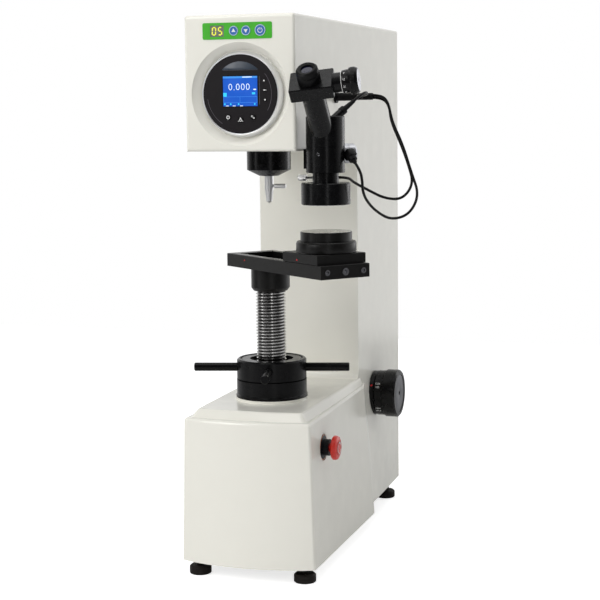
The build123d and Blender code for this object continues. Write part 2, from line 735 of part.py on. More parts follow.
end_face = Plane(origin=stage_plane.from_local_coords((rail_length - stage_left, 0, 0)),
                 x_dir=stage_plane.y_dir, z_dir=stage_plane.x_dir)
with BuildPart() as stage_end_plate:
    with BuildSketch(end_face):
        with Locations((0, stage_height / 2)):
            Rectangle(stage_width, stage_height)
        with Locations((end_screw_spread, stage_height / 2), (-end_screw_spread, stage_height / 2)):
            Circle(end_screw_radius, mode=Mode.SUBTRACT)
        with Locations((0, stage_height / 2)):
            Circle(stop_screw_radius, mode=Mode.SUBTRACT)
    extrude(amount=end_plate_thickness)
    chamfer(stage_end_plate.faces().sort_by(Axis.Z)[-1].edges(), 0.6)
save(stage_end_plate, "stage_end_plate")

with BuildPart() as stage_end_screws:
    with BuildSketch(end_face):
        with Locations((end_screw_spread, stage_height / 2), (-end_screw_spread, stage_height / 2)):
            Circle(end_screw_radius)
        with Locations((0, stage_height / 2)):
            Circle(stop_screw_radius)
    extrude(amount=end_plate_thickness + 0.8)
    with BuildSketch(end_face.offset(end_plate_thickness + 0.8)):
        with Locations((end_screw_spread, stage_height / 2), (-end_screw_spread, stage_height / 2),
                       (0, stage_height / 2)):
            RegularPolygon(end_screw_radius * 0.55, 6)
    extrude(amount=-end_plate_thickness / 2, mode=Mode.SUBTRACT)
save(stage_end_screws, "stage_end_screws")

slider_bottom = stage_height + air_gap
tongue_half_width = stage_width / 2 - rail_wall - running_fit
with BuildPart() as stage_slider:
    block_length = slider_back_reach + slider_front_reach
    block_middle = scope_reach + (slider_front_reach - slider_back_reach) / 2
    with BuildSketch(stage_plane.offset(slider_bottom)):
        with Locations((block_middle, 0)):
            Rectangle(block_length, stage_width)
    extrude(amount=slider_height)
    chamfer(stage_slider.faces().sort_by(Axis.Z)[-1].edges(), 0.6)
    tongue_left = scope_reach - stage_left + rail_end_wall + air_gap
    tongue_right = rail_length - stage_left - air_gap
    with BuildSketch(stage_plane.offset(slider_bottom)):
        with Locations(((tongue_left + tongue_right) / 2, 0)):
            Rectangle(tongue_right - tongue_left, 2 * tongue_half_width)
    extrude(amount=air_gap * 2 - channel_depth)
save(stage_slider, "stage_slider")

save(turned("anvil_holder", scope_axis,
            [(0, holder_z), (holder_radius - 1, holder_z), (holder_radius, holder_z + 1),
             (holder_radius, anvil_z - 1), (holder_radius - 1, anvil_z), (anvil_stem_radius, anvil_z),
             (anvil_stem_radius, anvil_z - anvil_stem_length), (0, anvil_z - anvil_stem_length)]),
     "anvil_holder")
save(turned("anvil", scope_axis,
            [(0, anvil_z - anvil_stem_length), (anvil_stem_radius, anvil_z - anvil_stem_length),
             (anvil_stem_radius, anvil_z), (anvil_radius, anvil_z),
             (anvil_radius, anvil_z + anvil_height - 0.8),
             (anvil_radius - 0.8, anvil_z + anvil_height), (0, anvil_z + anvil_height)]), "anvil")

# ---------------------------------------------------------------- measuring microscope
lean = radians(eyepiece_tilt)
roll = radians(head_roll)
tube_run = Vector(0, -sin(lean), cos(lean))
drum_run = Vector(cos(roll), sin(roll) * cos(lean), sin(roll) * sin(lean))
cross = Vector(scope_x, scope_y, optical_cross_z)
tilted_axis = Plane(origin=cross, x_dir=drum_run, z_dir=tube_run)
drum_axis = Plane(origin=cross + tube_run * (box_near + box_far) / 2, x_dir=tube_run, z_dir=drum_run)
lamp_axis = Plane(origin=(scope_x, scope_y, lamp_z), x_dir=(0, 0, 1),
                  z_dir=Vector(1, 0, 0).rotate(Axis.Z, lamp_turn))
lamp_plug_axis = Plane(origin=(scope_x + lamp_plug_x, scope_y + lamp_plug_y, lamp_z), z_dir=lamp_plug_run)
top_plug_axis = Plane(origin=(scope_x + top_plug_x, scope_y + top_plug_y, scope_top_z), z_dir=top_plug_run)
ring_screw_axis = Plane(origin=(scope_x, scope_y, ring_screw_z), x_dir=(0, 1, 0), z_dir=(-1, 0, 0))
ring_cable_axis = Plane(origin=(scope_x, scope_y, ring_screw_z), x_dir=(0, 0, 1),
                        z_dir=Vector(1, 0, 0).rotate(Axis.Z, ring_cable_turn))
socket_axis = Plane(origin=at(half_width, socket_y, socket_z), x_dir=(0, 1, 0), z_dir=(1, 0, 0))
branch_axis = Plane(origin=at(branch_x, socket_y, socket_z), x_dir=(0, 0, 1), z_dir=(0, -1, 0))

with BuildPart() as microscope_bracket:
    with BuildSketch(Plane.XY.offset(bracket_bottom_z)):
        with BuildLine():
            Polyline(at(half_width, bracket_front_y, 0), at(scope_x - mid_x, bracket_front_y, 0),
                     at(scope_x - mid_x, bracket_tip_y, 0), at(half_width, bracket_rear_y, 0), close=True)
        make_face()
    extrude(amount=bracket_height)
    with Locations(scope_axis.offset(bracket_bottom_z)):
        Cylinder(tube_radius, bracket_height * 3, mode=Mode.SUBTRACT)
save(microscope_bracket, "microscope_bracket")

with BuildPart() as microscope_body:
    with BuildSketch(half_section(scope_axis)):
        with BuildLine():
            Polyline((light_bore, scope_bottom_z), (tube_radius - 0.5, scope_bottom_z),
                     (tube_radius, scope_bottom_z + 0.5), (tube_radius, scope_joint_z),
                     (tube_radius - 0.6, scope_joint_z), (tube_radius - 0.6, scope_joint_z + 0.4),
                     (light_bore, scope_joint_z + 0.4), close=True)
        make_face()
    revolve(axis=Axis(scope_axis.origin, scope_axis.z_dir))
    with Locations(lamp_axis):
        Cylinder(lamp_spigot_radius + running_fit, tube_radius * 2, align=upward, mode=Mode.SUBTRACT)
save(microscope_body, "microscope_body")

with BuildPart() as prism_housing:
    with BuildSketch(half_section(scope_axis)):
        with BuildLine():
            Polyline((0, scope_joint_z + 0.4), (tube_radius, scope_joint_z + 0.4),
                     (tube_radius, scope_top_z - 1), (tube_radius - 1, scope_top_z), (0, scope_top_z),
                     close=True)
        make_face()
    revolve(axis=Axis(scope_axis.origin, scope_axis.z_dir))
    with Locations(tilted_axis):
        Cylinder(inclined_radius, box_near - air_gap, align=upward)
    with Locations(top_plug_axis.offset(-boss_length)):
        Cylinder(plug_boss_radius, boss_length + top_boss_length, align=upward)
    with BuildSketch(Plane.XY.offset(scope_joint_z + 0.4)):
        with Locations((scope_x, scope_y)):
            Rectangle(scope_top_z, scope_top_z)
    extrude(amount=-boss_height, mode=Mode.SUBTRACT)
    with Locations(scope_axis.offset(scope_joint_z)):
        Cylinder(light_bore, light_bore * 2, align=upward, mode=Mode.SUBTRACT)
    with Locations(tilted_axis.offset(light_bore * 2)):
        Cylinder(light_bore + running_fit, box_near, align=upward, mode=Mode.SUBTRACT)
save(prism_housing, "prism_housing")

with BuildPart() as micrometer_box:
    with BuildSketch(tilted_axis.offset(box_near)):
        with Locations((box_shift, 0)):
            Rectangle(box_width, box_height)
    extrude(amount=box_far - box_near)
    outer = micrometer_box.edges().filter_by(GeomType.LINE)
    chamfer(outer, 1)
    with Locations(tilted_axis.offset(box_near - light_bore)):
        Cylinder(light_bore, light_bore * 2, align=upward)
    with Locations(tilted_axis.offset(box_near - light_bore)):
        Cylinder(light_bore - 2, light_bore * 6, align=upward, mode=Mode.SUBTRACT)
    with Locations(drum_axis.offset(light_bore)):
        Cylinder(drum_stem_radius, box_width, align=upward, mode=Mode.SUBTRACT)
save(micrometer_box, "micrometer_box")

save(turned("eyepiece", tilted_axis,
            [(0, box_far - 4), (light_bore - 2 - running_fit, box_far - 4),
             (light_bore - 2 - running_fit, box_far), (eyepiece_radius, box_far),
             (eyepiece_radius, box_far + 9), (eyepiece_radius - 0.8, box_far + 9.4),
             (eyepiece_radius - 0.8, box_far + 10.6), (eyepiece_radius, box_far + 11),
             (eyepiece_radius - 0.4, eyepiece_far - 2), (eyepiece_radius - 2.5, eyepiece_far),
             (eyepiece_radius - 6, eyepiece_far - 1), (lens_radius, eyepiece_far - 3.5),
             (0, eyepiece_far - 4.5)]), "eyepiece")

sleeve_near = box_shift + box_width / 2
save(turned("micrometer_sleeve", drum_axis,
            [(0, sleeve_near - 6), (drum_stem_radius - running_fit, sleeve_near - 6),
             (drum_stem_radius - running_fit, sleeve_near), (sleeve_radius, sleeve_near),
             (sleeve_radius, drum_near), (drum_stem_radius, drum_near),
             (drum_stem_radius, drum_far - 3), (0, drum_far - 3)]), "micrometer_sleeve")
stem_bore = drum_stem_radius + running_fit
save(turned("micrometer_thimble", drum_axis,
            [(stem_bore, drum_near + air_gap), (drum_radius - 2.8, drum_near + air_gap),
             (drum_radius - 2.2, drum_near + 3), (drum_radius - 1.6, drum_near + 9),
             (drum_radius, drum_near + 10), (drum_radius, drum_far), (drum_radius - 1, drum_cap_far - 1),
             (drum_radius - 2, drum_cap_far), (2, drum_cap_far), (2, drum_cap_far - 1.5),
             (0, drum_cap_far - 1.5), (0, drum_far - 3 + air_gap), (stem_bore, drum_far - 3 + air_gap)]),
     "micrometer_thimble")

with BuildPart() as objective_neck:
    with BuildSketch(half_section(scope_axis)):
        with BuildLine():
            Polyline((lens_radius, objective_bottom_z), (objective_radius - 2, objective_bottom_z),
                     (objective_radius, objective_bottom_z + 3), (objective_radius, ring_light_top_z),
                     (neck_radius, ring_light_top_z), (neck_radius, scope_bottom_z),
                     (lens_radius, scope_bottom_z), close=True)
        make_face()
    revolve(axis=Axis(scope_axis.origin, scope_axis.z_dir))
    with Locations(ring_screw_axis):
        Cylinder(clamp_shank_radius + 0.1, neck_radius * 2, align=upward, mode=Mode.SUBTRACT)
    with Locations(ring_cable_axis.offset(neck_radius - cable_seat)):
        Cylinder(cable_radius + running_fit, neck_radius, align=upward, mode=Mode.SUBTRACT)
save(objective_neck, "objective_neck")

save(turned("ring_light", scope_axis,
            [(objective_radius + air_gap, ring_light_bottom_z + 3),
             (objective_radius + 6, ring_light_bottom_z + 3), (ring_light_radius - 3, ring_light_bottom_z),
             (ring_light_radius - 0.8, ring_light_bottom_z), (ring_light_radius, ring_light_bottom_z + 0.8),
             (ring_light_radius, ring_light_top_z - 0.8), (ring_light_radius - 0.8, ring_light_top_z),
             (objective_radius + air_gap, ring_light_top_z)]), "ring_light")

save(turned("ring_light_screw", ring_screw_axis,
            [(0, neck_radius - 5), (clamp_shank_radius, neck_radius - 5),
             (clamp_shank_radius, ring_screw_neck), (ring_screw_radius, ring_screw_neck),
             (ring_screw_radius, ring_screw_reach - 0.5), (ring_screw_radius - 0.5, ring_screw_reach),
             (0, ring_screw_reach)]), "ring_light_screw")

with BuildPart() as lamp_housing:
    with BuildSketch(half_section(lamp_axis)):
        with BuildLine():
            Polyline((0, tube_radius - 4), (lamp_spigot_radius, tube_radius - 4),
                     (lamp_spigot_radius, tube_radius - 2), (lamp_radius, tube_radius - 6),
                     (lamp_radius, lamp_reach - 3), (lamp_radius - 1.5, lamp_reach - 0.8),
                     (lamp_radius - 4, lamp_reach), (0, lamp_reach), close=True)
        make_face()
    revolve(axis=Axis(lamp_axis.origin, lamp_axis.z_dir))
    with Locations(lamp_plug_axis.offset(-boss_length / 2)):
        Cylinder(plug_boss_radius - 0.5, boss_length * 1.5 - 0.5, align=upward)
    with Locations(scope_axis.offset(lamp_z)):
        Cylinder(tube_radius + 0.05, lamp_radius * 4, mode=Mode.SUBTRACT)
    with Locations(lamp_axis.offset(tube_radius - 4)):
        Cylinder(lamp_spigot_radius, 6, align=upward)
save(lamp_housing, "lamp_housing")

# ---------------------------------------------------------------- cable plugs
def cable_plug_at(name, axis_plane, start, plug_length):
    """Knurled nut with a tapering boot, its cable hole in the far end."""
    with BuildPart() as plug:
        with BuildSketch(half_section(axis_plane.offset(start))):
            with BuildLine():
                Polyline((0, 0), (plug_nut_radius, 0), (plug_nut_radius, plug_nut_length),
                         (cable_radius * 2, plug_nut_length), (cable_radius * 1.4, plug_length),
                         (0, plug_length), close=True)
            make_face()
        revolve(axis=Axis(axis_plane.origin, axis_plane.z_dir))
        with Locations(axis_plane.offset(start + plug_length - cable_seat)):
            Cylinder(cable_radius + running_fit, wall, align=upward, mode=Mode.SUBTRACT)
    save(plug, name)


cable_plug_at("lamp_plug", lamp_plug_axis, boss_length - 0.5, lamp_plug_length)
cable_plug_at("illuminator_plug", top_plug_axis, top_boss_length, top_plug_length)

with BuildPart() as cable_plug:
    with BuildSketch(half_section(socket_axis)):
        with BuildLine():
            Polyline((0, -wall * 1.5), (socket_radius, -wall * 1.5), (socket_radius, 0),
                     (socket_radius + 2, 0), (socket_radius + 2, 3), (plug_nut_radius, 3),
                     (plug_nut_radius, plug_body_far), (splitter_radius, plug_body_far + 2),
                     (splitter_radius, splitter_far - 1), (splitter_radius - 0.4, splitter_far),
                     (0, splitter_far), close=True)
        make_face()
    revolve(axis=Axis(socket_axis.origin, socket_axis.z_dir))
    with Locations(branch_axis):
        Cylinder(cable_radius * 1.5, branch_length, align=upward)
    with Locations(branch_axis.offset(branch_length - cable_seat)):
        Cylinder(cable_radius + running_fit, wall, align=upward, mode=Mode.SUBTRACT)
    with BuildSketch(socket_axis.offset(splitter_far)):
        with Locations((-split_y, split_z), (split_y, -split_z)):
            Circle(cable_radius + running_fit)
    extrude(amount=-cable_seat, mode=Mode.SUBTRACT)
save(cable_plug, "cable_plug")

# ---------------------------------------------------------------- cables


def cable(name, route):
    """A cable swept along straight runs joined by arcs; prints the arc radii."""
    runs = [(b - a).length for a, b in zip(route, route[1:])]
    radii = []
    for i in range(1, len(route) - 1):
        bend = (route[i] - route[i - 1]).get_angle(route[i + 1] - route[i])
        radii.append(0.45 * min(runs[i - 1], runs[i]) / tan(radians(bend / 2)))
    with BuildPart() as tube:
        with BuildLine():
            path = FilletPolyline(*route, radius=radii)
        with BuildSketch(Plane(origin=path @ 0, z_dir=path % 0)):
            Circle(cable_radius)
        sweep()
    length = path.length
    print(name, "length", round(length, 1), "smallest bend", round(min(radii), 1),
          "volume ratio", round(tube.part.volume / (length * 3.14159 * cable_radius ** 2), 3))
    save(tube, name)


def seat_on(axis_plane, along):
    """Point on the axis of axis_plane."""
    return axis_plane.origin + axis_plane.z_dir * along


lamp_exit = boss_length - 0.5 + lamp_plug_length
top_exit = top_boss_length + top_plug_length
cable("lamp_cable",
      [at(half_width + splitter_far - cable_seat + 0.1, socket_y - split_y, socket_z + split_z),
       at(131.8, socket_y - split_y, socket_z + split_z), at(142.5, 163.9, 594.5),
       at(149.2, 157, 568.6), at(165.1, 148, 540.8), at(179.8, 135, 504.7), at(192.8, 122, 477.8),
       at(184.4, 105, 454.4), at(166.4, 85, 448.8), at(153.8, 65, 459.3), at(146.7, 45, 472.8),
       at(145.9, 25.7, 486.8), at(147.8, 17.7, 500.4), seat_on(lamp_plug_axis, lamp_exit + 12.5),
       seat_on(lamp_plug_axis, lamp_exit - cable_seat + 0.1)])
cable("ring_light_cable",
      [at(half_width + splitter_far - cable_seat + 0.1, socket_y + split_y, socket_z - split_z),
       at(131.8, socket_y + split_y, socket_z - split_z), at(142.5, 168.4, 590.8),
       at(146.3, 163, 569.1), at(160.7, 155, 541.9), at(173.8, 144, 514.4), at(182.9, 133, 491),
       at(172.8, 116, 472.4), at(154.7, 96, 474.7), at(138.4, 78, 486.1), at(125, 60, 496.4),
       seat_on(ring_cable_axis, neck_radius + 14.6),
       seat_on(ring_cable_axis, neck_radius - cable_seat + 0.1)])
cable("illuminator_cable",
      [at(branch_x, socket_y - branch_length + cable_seat - 0.1, socket_z), at(branch_x, 138, socket_z),
       at(117, 120, 602), at(127, 103, 602.5), at(134.5, 88, 603.2), at(139.2, 73.4, 605.8),
       seat_on(top_plug_axis, top_exit + 15), seat_on(top_plug_axis, top_exit - cable_seat + 0.1)])

# ---------------------------------------------------------------- load dial and stop button
save(turned("dial_flange", dial_axis,
            [(dial_shaft_radius + running_fit, dial_seat_x),
             (dial_flange_radius, dial_seat_x),
             (dial_flange_radius, dial_seat_x + dial_flange_thickness - 0.6),
             (dial_flange_radius - 0.6, dial_seat_x + dial_flange_thickness),
             (dial_shaft_radius + running_fit, dial_seat_x + dial_flange_thickness)]), "dial_flange")
knob_x = dial_seat_x + dial_flange_thickness + air_gap
save(turned("force_dial", dial_axis,
            [(0, dial_seat_x - 25), (dial_shaft_radius, dial_seat_x - 25),
             (dial_shaft_radius, knob_x), (dial_skirt_radius - 1.5, knob_x),
             (dial_skirt_radius, knob_x + 1.5), (dial_skirt_radius, groove_x),
             (dial_skirt_radius - 1, groove_x), (dial_skirt_radius - 1, groove_x + 1.6),
             (dial_radius - 1, groove_x + 1.6), (dial_radius, groove_x + 2.6),
             (dial_radius, dial_face_x - 2),
             (dial_radius - 2, dial_face_x), (dial_face_radius, dial_face_x),
             (dial_face_radius, dial_face_x - 0.8), (3, dial_face_x - 0.8), (3, dial_face_x - 4),
             (0, dial_face_x - 4)]), "force_dial")

save(turned("stop_collar", stop_axis,
            [(stop_stem_radius + running_fit, stop_seat_x - 18),
             (stop_body_radius - running_fit, stop_seat_x - 18),
             (stop_body_radius - running_fit, stop_seat_x), (stop_ring_radius, stop_seat_x),
             (stop_ring_radius, stop_seat_x + 1.6), (stop_neck_radius + 3, stop_seat_x + 2.4),
             (stop_neck_radius, stop_seat_x + 3), (stop_neck_radius, stop_head_x - stop_travel - 0.5),
             (stop_stem_radius + running_fit, stop_head_x - stop_travel - 0.5)]), "stop_collar")
save(turned("stop_button", stop_axis,
            [(0, stop_seat_x - 14), (stop_stem_radius, stop_seat_x - 14),
             (stop_stem_radius, stop_head_x), (stop_cap_radius - 1, stop_head_x),
             (stop_cap_radius, stop_head_x + 1), (stop_cap_radius, stop_head_x + 4),
             (stop_cap_radius - 1, stop_head_x + 6.2), (stop_cap_radius - 4, stop_face_x - 0.6),
             (stop_cap_radius - 9, stop_face_x), (0, stop_face_x)]), "stop_button")

# ---------------------------------------------------------------- supply inlet and switch
inlet_plane = Plane(origin=rear_face.from_local_coords((inlet_x, inlet_drop, 0)),
                    x_dir=rear_face.x_dir, z_dir=rear_face.z_dir)
with BuildPart() as power_inlet:
    with BuildSketch(inlet_plane):
        RectangleRounded(inlet_width + 6, inlet_height + 6, 2)
    extrude(amount=2)
    with BuildSketch(inlet_plane):
        Rectangle(inlet_width - 0.4, inlet_height - 0.4)
    extrude(amount=-inlet_depth)
    with BuildSketch(inlet_plane.offset(2)):
        RectangleRounded(inlet_width - 5, inlet_height - 7, 3)
    extrude(amount=-inlet_depth + 4, mode=Mode.SUBTRACT)
    with BuildSketch(inlet_plane.offset(-inlet_depth + 5)):
        with GridLocations(7, 0.1, 3, 1):
            Rectangle(1.6, 5)
    extrude(amount=inlet_depth - 7)
save(power_inlet, "power_inlet")

switch_axis = Plane(origin=rear_face.from_local_coords((-inlet_x, inlet_drop, -rocker_sink)),
                    x_dir=rear_face.z_dir, z_dir=rear_face.x_dir)
with BuildPart() as power_switch:
    with BuildSketch(switch_axis):
        Circle(rocker_radius)
        with BuildLine():
            Polyline((rocker_sink + 1, 0), (rocker_radius + 2, rocker_radius * 0.7),
                     (rocker_radius + 2, -rocker_radius * 0.7), close=True)
        make_face(mode=Mode.SUBTRACT)
    extrude(amount=inlet_width / 2 - air_gap, both=True)
save(power_switch, "power_switch")

# ---------------------------------------------------------------- load train
hanger_y = fulcrum_y + (screw_y - fulcrum_y) * lever_ratio
with BuildPart() as main_lever:
    with BuildSketch(Plane.YZ.offset(mid_x)):
        with BuildLine():
            Polyline((front_y + fulcrum_y - lever_height / 2, lever_z - lever_height / 2),
                     (front_y + hanger_y + lever_height / 2, lever_z - lever_height / 3),
                     (front_y + hanger_y + lever_height / 2, lever_z + lever_height / 3),
                     (front_y + fulcrum_y - lever_height / 2, lever_z + lever_height / 2), close=True)
        make_face()
    extrude(amount=lever_width / 2, both=True)
    with Locations(fulcrum_axis):
        Cylinder(fulcrum_radius + running_fit, lever_width * 2, mode=Mode.SUBTRACT)
    with BuildSketch(Plane(origin=at(0, hanger_y, lever_z), x_dir=(0, 1, 0), z_dir=(1, 0, 0))):
        Rectangle(2 * hanger_pin_radius + 1.2, 2 * hanger_pin_radius + 2 * air_gap)
    extrude(amount=lever_width, both=True, mode=Mode.SUBTRACT)
    with Locations(screw_axis.offset(quill_top_z + air_gap)):
        Cylinder(lever_pad_radius, lever_height / 2, align=upward)
save(main_lever, "main_lever")

with BuildPart() as weight_stack:
    with Locations(Plane(origin=at(0, hanger_y, lever_z), x_dir=(0, 1, 0), z_dir=(1, 0, 0))):
        Cylinder(hanger_pin_radius, lever_width + 14)
    for side in (-1, 1):
        with Locations(at(side * (lever_width / 2 + 4), hanger_y, lever_z - stirrup_height / 2 + 6)):
            Box(5, 14, stirrup_height)
    with Locations(at(0, hanger_y, lever_z + 6 - stirrup_height)):
        Box(lever_width + 13, 14, 6)
    with Locations(Plane(at(0, hanger_y, weight_bottom_z))):
        Cylinder(rod_radius, lever_z + 6 - stirrup_height - weight_bottom_z, align=upward)
    for disc in range(weight_count):
        with Locations(Plane(at(0, hanger_y, weight_bottom_z + disc * (weight_thickness + 2)))):
            Cylinder(weight_radius, weight_thickness, align=upward)
save(weight_stack, "weight_stack")
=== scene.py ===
"""Bench hardness tester: its finishes, thread, scales, keys, cables and studio."""
import logging
from dataclasses import dataclass, replace
from enum import Enum
from math import atan2, cos, degrees, pi, radians, sin
from typing import Any, Callable, Optional, Sequence

import bpy
from mathutils import Matrix, Vector


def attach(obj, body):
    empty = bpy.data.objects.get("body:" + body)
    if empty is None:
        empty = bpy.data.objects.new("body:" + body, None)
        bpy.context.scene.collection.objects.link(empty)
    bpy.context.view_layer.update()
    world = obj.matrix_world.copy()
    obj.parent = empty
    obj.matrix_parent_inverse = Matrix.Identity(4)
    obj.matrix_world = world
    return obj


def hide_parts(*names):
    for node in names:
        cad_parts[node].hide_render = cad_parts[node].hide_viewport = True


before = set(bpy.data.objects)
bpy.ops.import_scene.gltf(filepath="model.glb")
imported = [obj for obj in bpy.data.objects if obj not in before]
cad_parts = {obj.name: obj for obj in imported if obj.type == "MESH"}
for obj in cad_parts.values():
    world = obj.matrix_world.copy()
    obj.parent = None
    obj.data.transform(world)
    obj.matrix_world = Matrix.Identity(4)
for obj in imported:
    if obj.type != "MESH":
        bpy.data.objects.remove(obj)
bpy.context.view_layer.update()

MM = 0.001
LOG = logging.getLogger("hardness_tester")

MIDDLE_X = -30.0
HEAD_FRONT_Y = -222.0
SPINDLE_Y = 106.0
STAGE_TURN = radians(-39.75)
SCOPE_REACH = 131.0
SCOPE_X = SCOPE_REACH * cos(STAGE_TURN)
SCOPE_Y = SPINDLE_Y + SCOPE_REACH * sin(STAGE_TURN)
LAMP_Z = 532.5
RING_SCREW_Z = 503.6
LEAN = radians(40.0)
ROLL = radians(9.3)


def place(x: float, y: float, z: float) -> Vector:
    """A point of the machine in scene metres.

    Args:
        x: Millimetres right of the casting's middle plane.
        y: Millimetres behind the head's front plane.
        z: Millimetres above the floor.

    Returns:
        The point in the scene's frame.
    """
    return Vector((MIDDLE_X + x, HEAD_FRONT_Y + y, z)) * MM


@dataclass(frozen=True)
class Facing:
    """A flat place on the machine that is drawn on or turned about."""

    origin: Vector
    right: Vector
    up: Vector

    @property
    def normal(self) -> Vector:
        """Direction out of the face."""
        return self.right.cross(self.up)

    def matrix(self, u: float = 0.0, v: float = 0.0, lift: float = 0.0) -> Matrix:
        """The placing of something drawn at a spot of this face.

        Args:
            u: Millimetres to the right.
            v: Millimetres up.
            lift: Millimetres out of the face.

        Returns:
            A matrix that carries the XY plane onto the face.
        """
        spot = self.origin + (self.right * u + self.up * v + self.normal * lift) * MM
        turned = Matrix((self.right, self.up, self.normal)).transposed()
        return Matrix.Translation(spot) @ turned.to_4x4()


RIGHT, BACK, UP = Vector((1, 0, 0)), Vector((0, 1, 0)), Vector((0, 0, 1))
HALF_TURN = Matrix.Rotation(pi, 4, "Z")
TUBE_RUN = Vector((0, -sin(LEAN), cos(LEAN)))
DRUM_RUN = Vector((cos(ROLL), sin(ROLL) * cos(LEAN), sin(ROLL) * sin(LEAN)))
SCREW_AXIS = Facing(place(0, SPINDLE_Y, 0), RIGHT, BACK)
SCOPE_AXIS = Facing(place(SCOPE_X, SCOPE_Y, 0), RIGHT, BACK)
TILTED_AXIS = Facing(place(SCOPE_X, SCOPE_Y, 545.5), DRUM_RUN, TUBE_RUN.cross(DRUM_RUN))
DRUM_AXIS = Facing(TILTED_AXIS.origin + TUBE_RUN * 88.25 * MM, TUBE_RUN, DRUM_RUN.cross(TUBE_RUN))
GAUGE_FACE = Facing(place(0, 2.5, 605), RIGHT, UP)
PANEL_FACE = Facing(place(-1.8, -0.6, 680.4), RIGHT, UP)
DIAL_AXIS = Facing(place(0, 353, 180.3), BACK, UP)
STOP_AXIS = Facing(place(0, 62, 162.5), BACK, UP)
LAMP_RUN = Vector((cos(radians(35)), sin(radians(35)), 0))
LAMP_AXIS = Facing(place(SCOPE_X, SCOPE_Y, LAMP_Z), UP, LAMP_RUN.cross(UP))
LAMP_PLUG_START = (SCOPE_X + 28.1, SCOPE_Y + 5.2, LAMP_Z)
LAMP_PLUG_WAY = (0.598, -0.363, -0.714)
LAMP_PLUG_RUN = Vector(LAMP_PLUG_WAY).normalized()
LAMP_PLUG_SIDE = LAMP_PLUG_RUN.cross(UP).normalized()
LAMP_PLUG = Facing(place(*LAMP_PLUG_START), LAMP_PLUG_SIDE, LAMP_PLUG_RUN.cross(LAMP_PLUG_SIDE))
RING_SCREW_AXIS = Facing(place(SCOPE_X, SCOPE_Y, RING_SCREW_Z), -BACK, UP)
CLAMP_AXIS = Facing(place(0, SPINDLE_Y, 489), BACK, UP)
STAGE_RUN = Vector((cos(STAGE_TURN), sin(STAGE_TURN), 0))
STAGE_SIDE = UP.cross(STAGE_RUN)


# ------------------------------------------------------------------ finishes
class Pattern(Enum):
    """How a surface was made, which sets its relief."""

    GRAINED = "grained"
    TURNED = "turned"
    KNURLED = "knurled"


def linear(hex_colour: str) -> tuple[float, float, float, float]:
    """Turns an sRGB hex value into the linear colour a shader takes.

    Args:
        hex_colour: Six hex digits.

    Returns:
        Red, green, blue and an alpha of 1.
    """
    parts = [int(hex_colour[i:i + 2], 16) / 255 for i in (0, 2, 4)]
    low = [c / 12.92 if c <= 0.04045 else ((c + 0.055) / 1.055) ** 2.4 for c in parts]
    return (low[0], low[1], low[2], 1.0)


def add_node(tree: bpy.types.NodeTree, kind: str, inputs: Optional[dict[Any, Any]] = None,
             **settings: Any) -> bpy.types.Node:
    """Adds a shader node with its settings and links.

    Args:
        tree: The material's node tree.
        kind: The node's type name.
        inputs: Socket name or number to a value or another node's output.
        **settings: Attributes of the node.

    Returns:
        The new node.
    """
    node = tree.nodes.new(kind)
    for name, value in settings.items():
        setattr(node, name, value)
    for socket, value in (inputs or {}).items():
        if isinstance(value, bpy.types.NodeSocket):
            tree.links.new(value, node.inputs[socket])
        else:
            node.inputs[socket].default_value = value
    return node


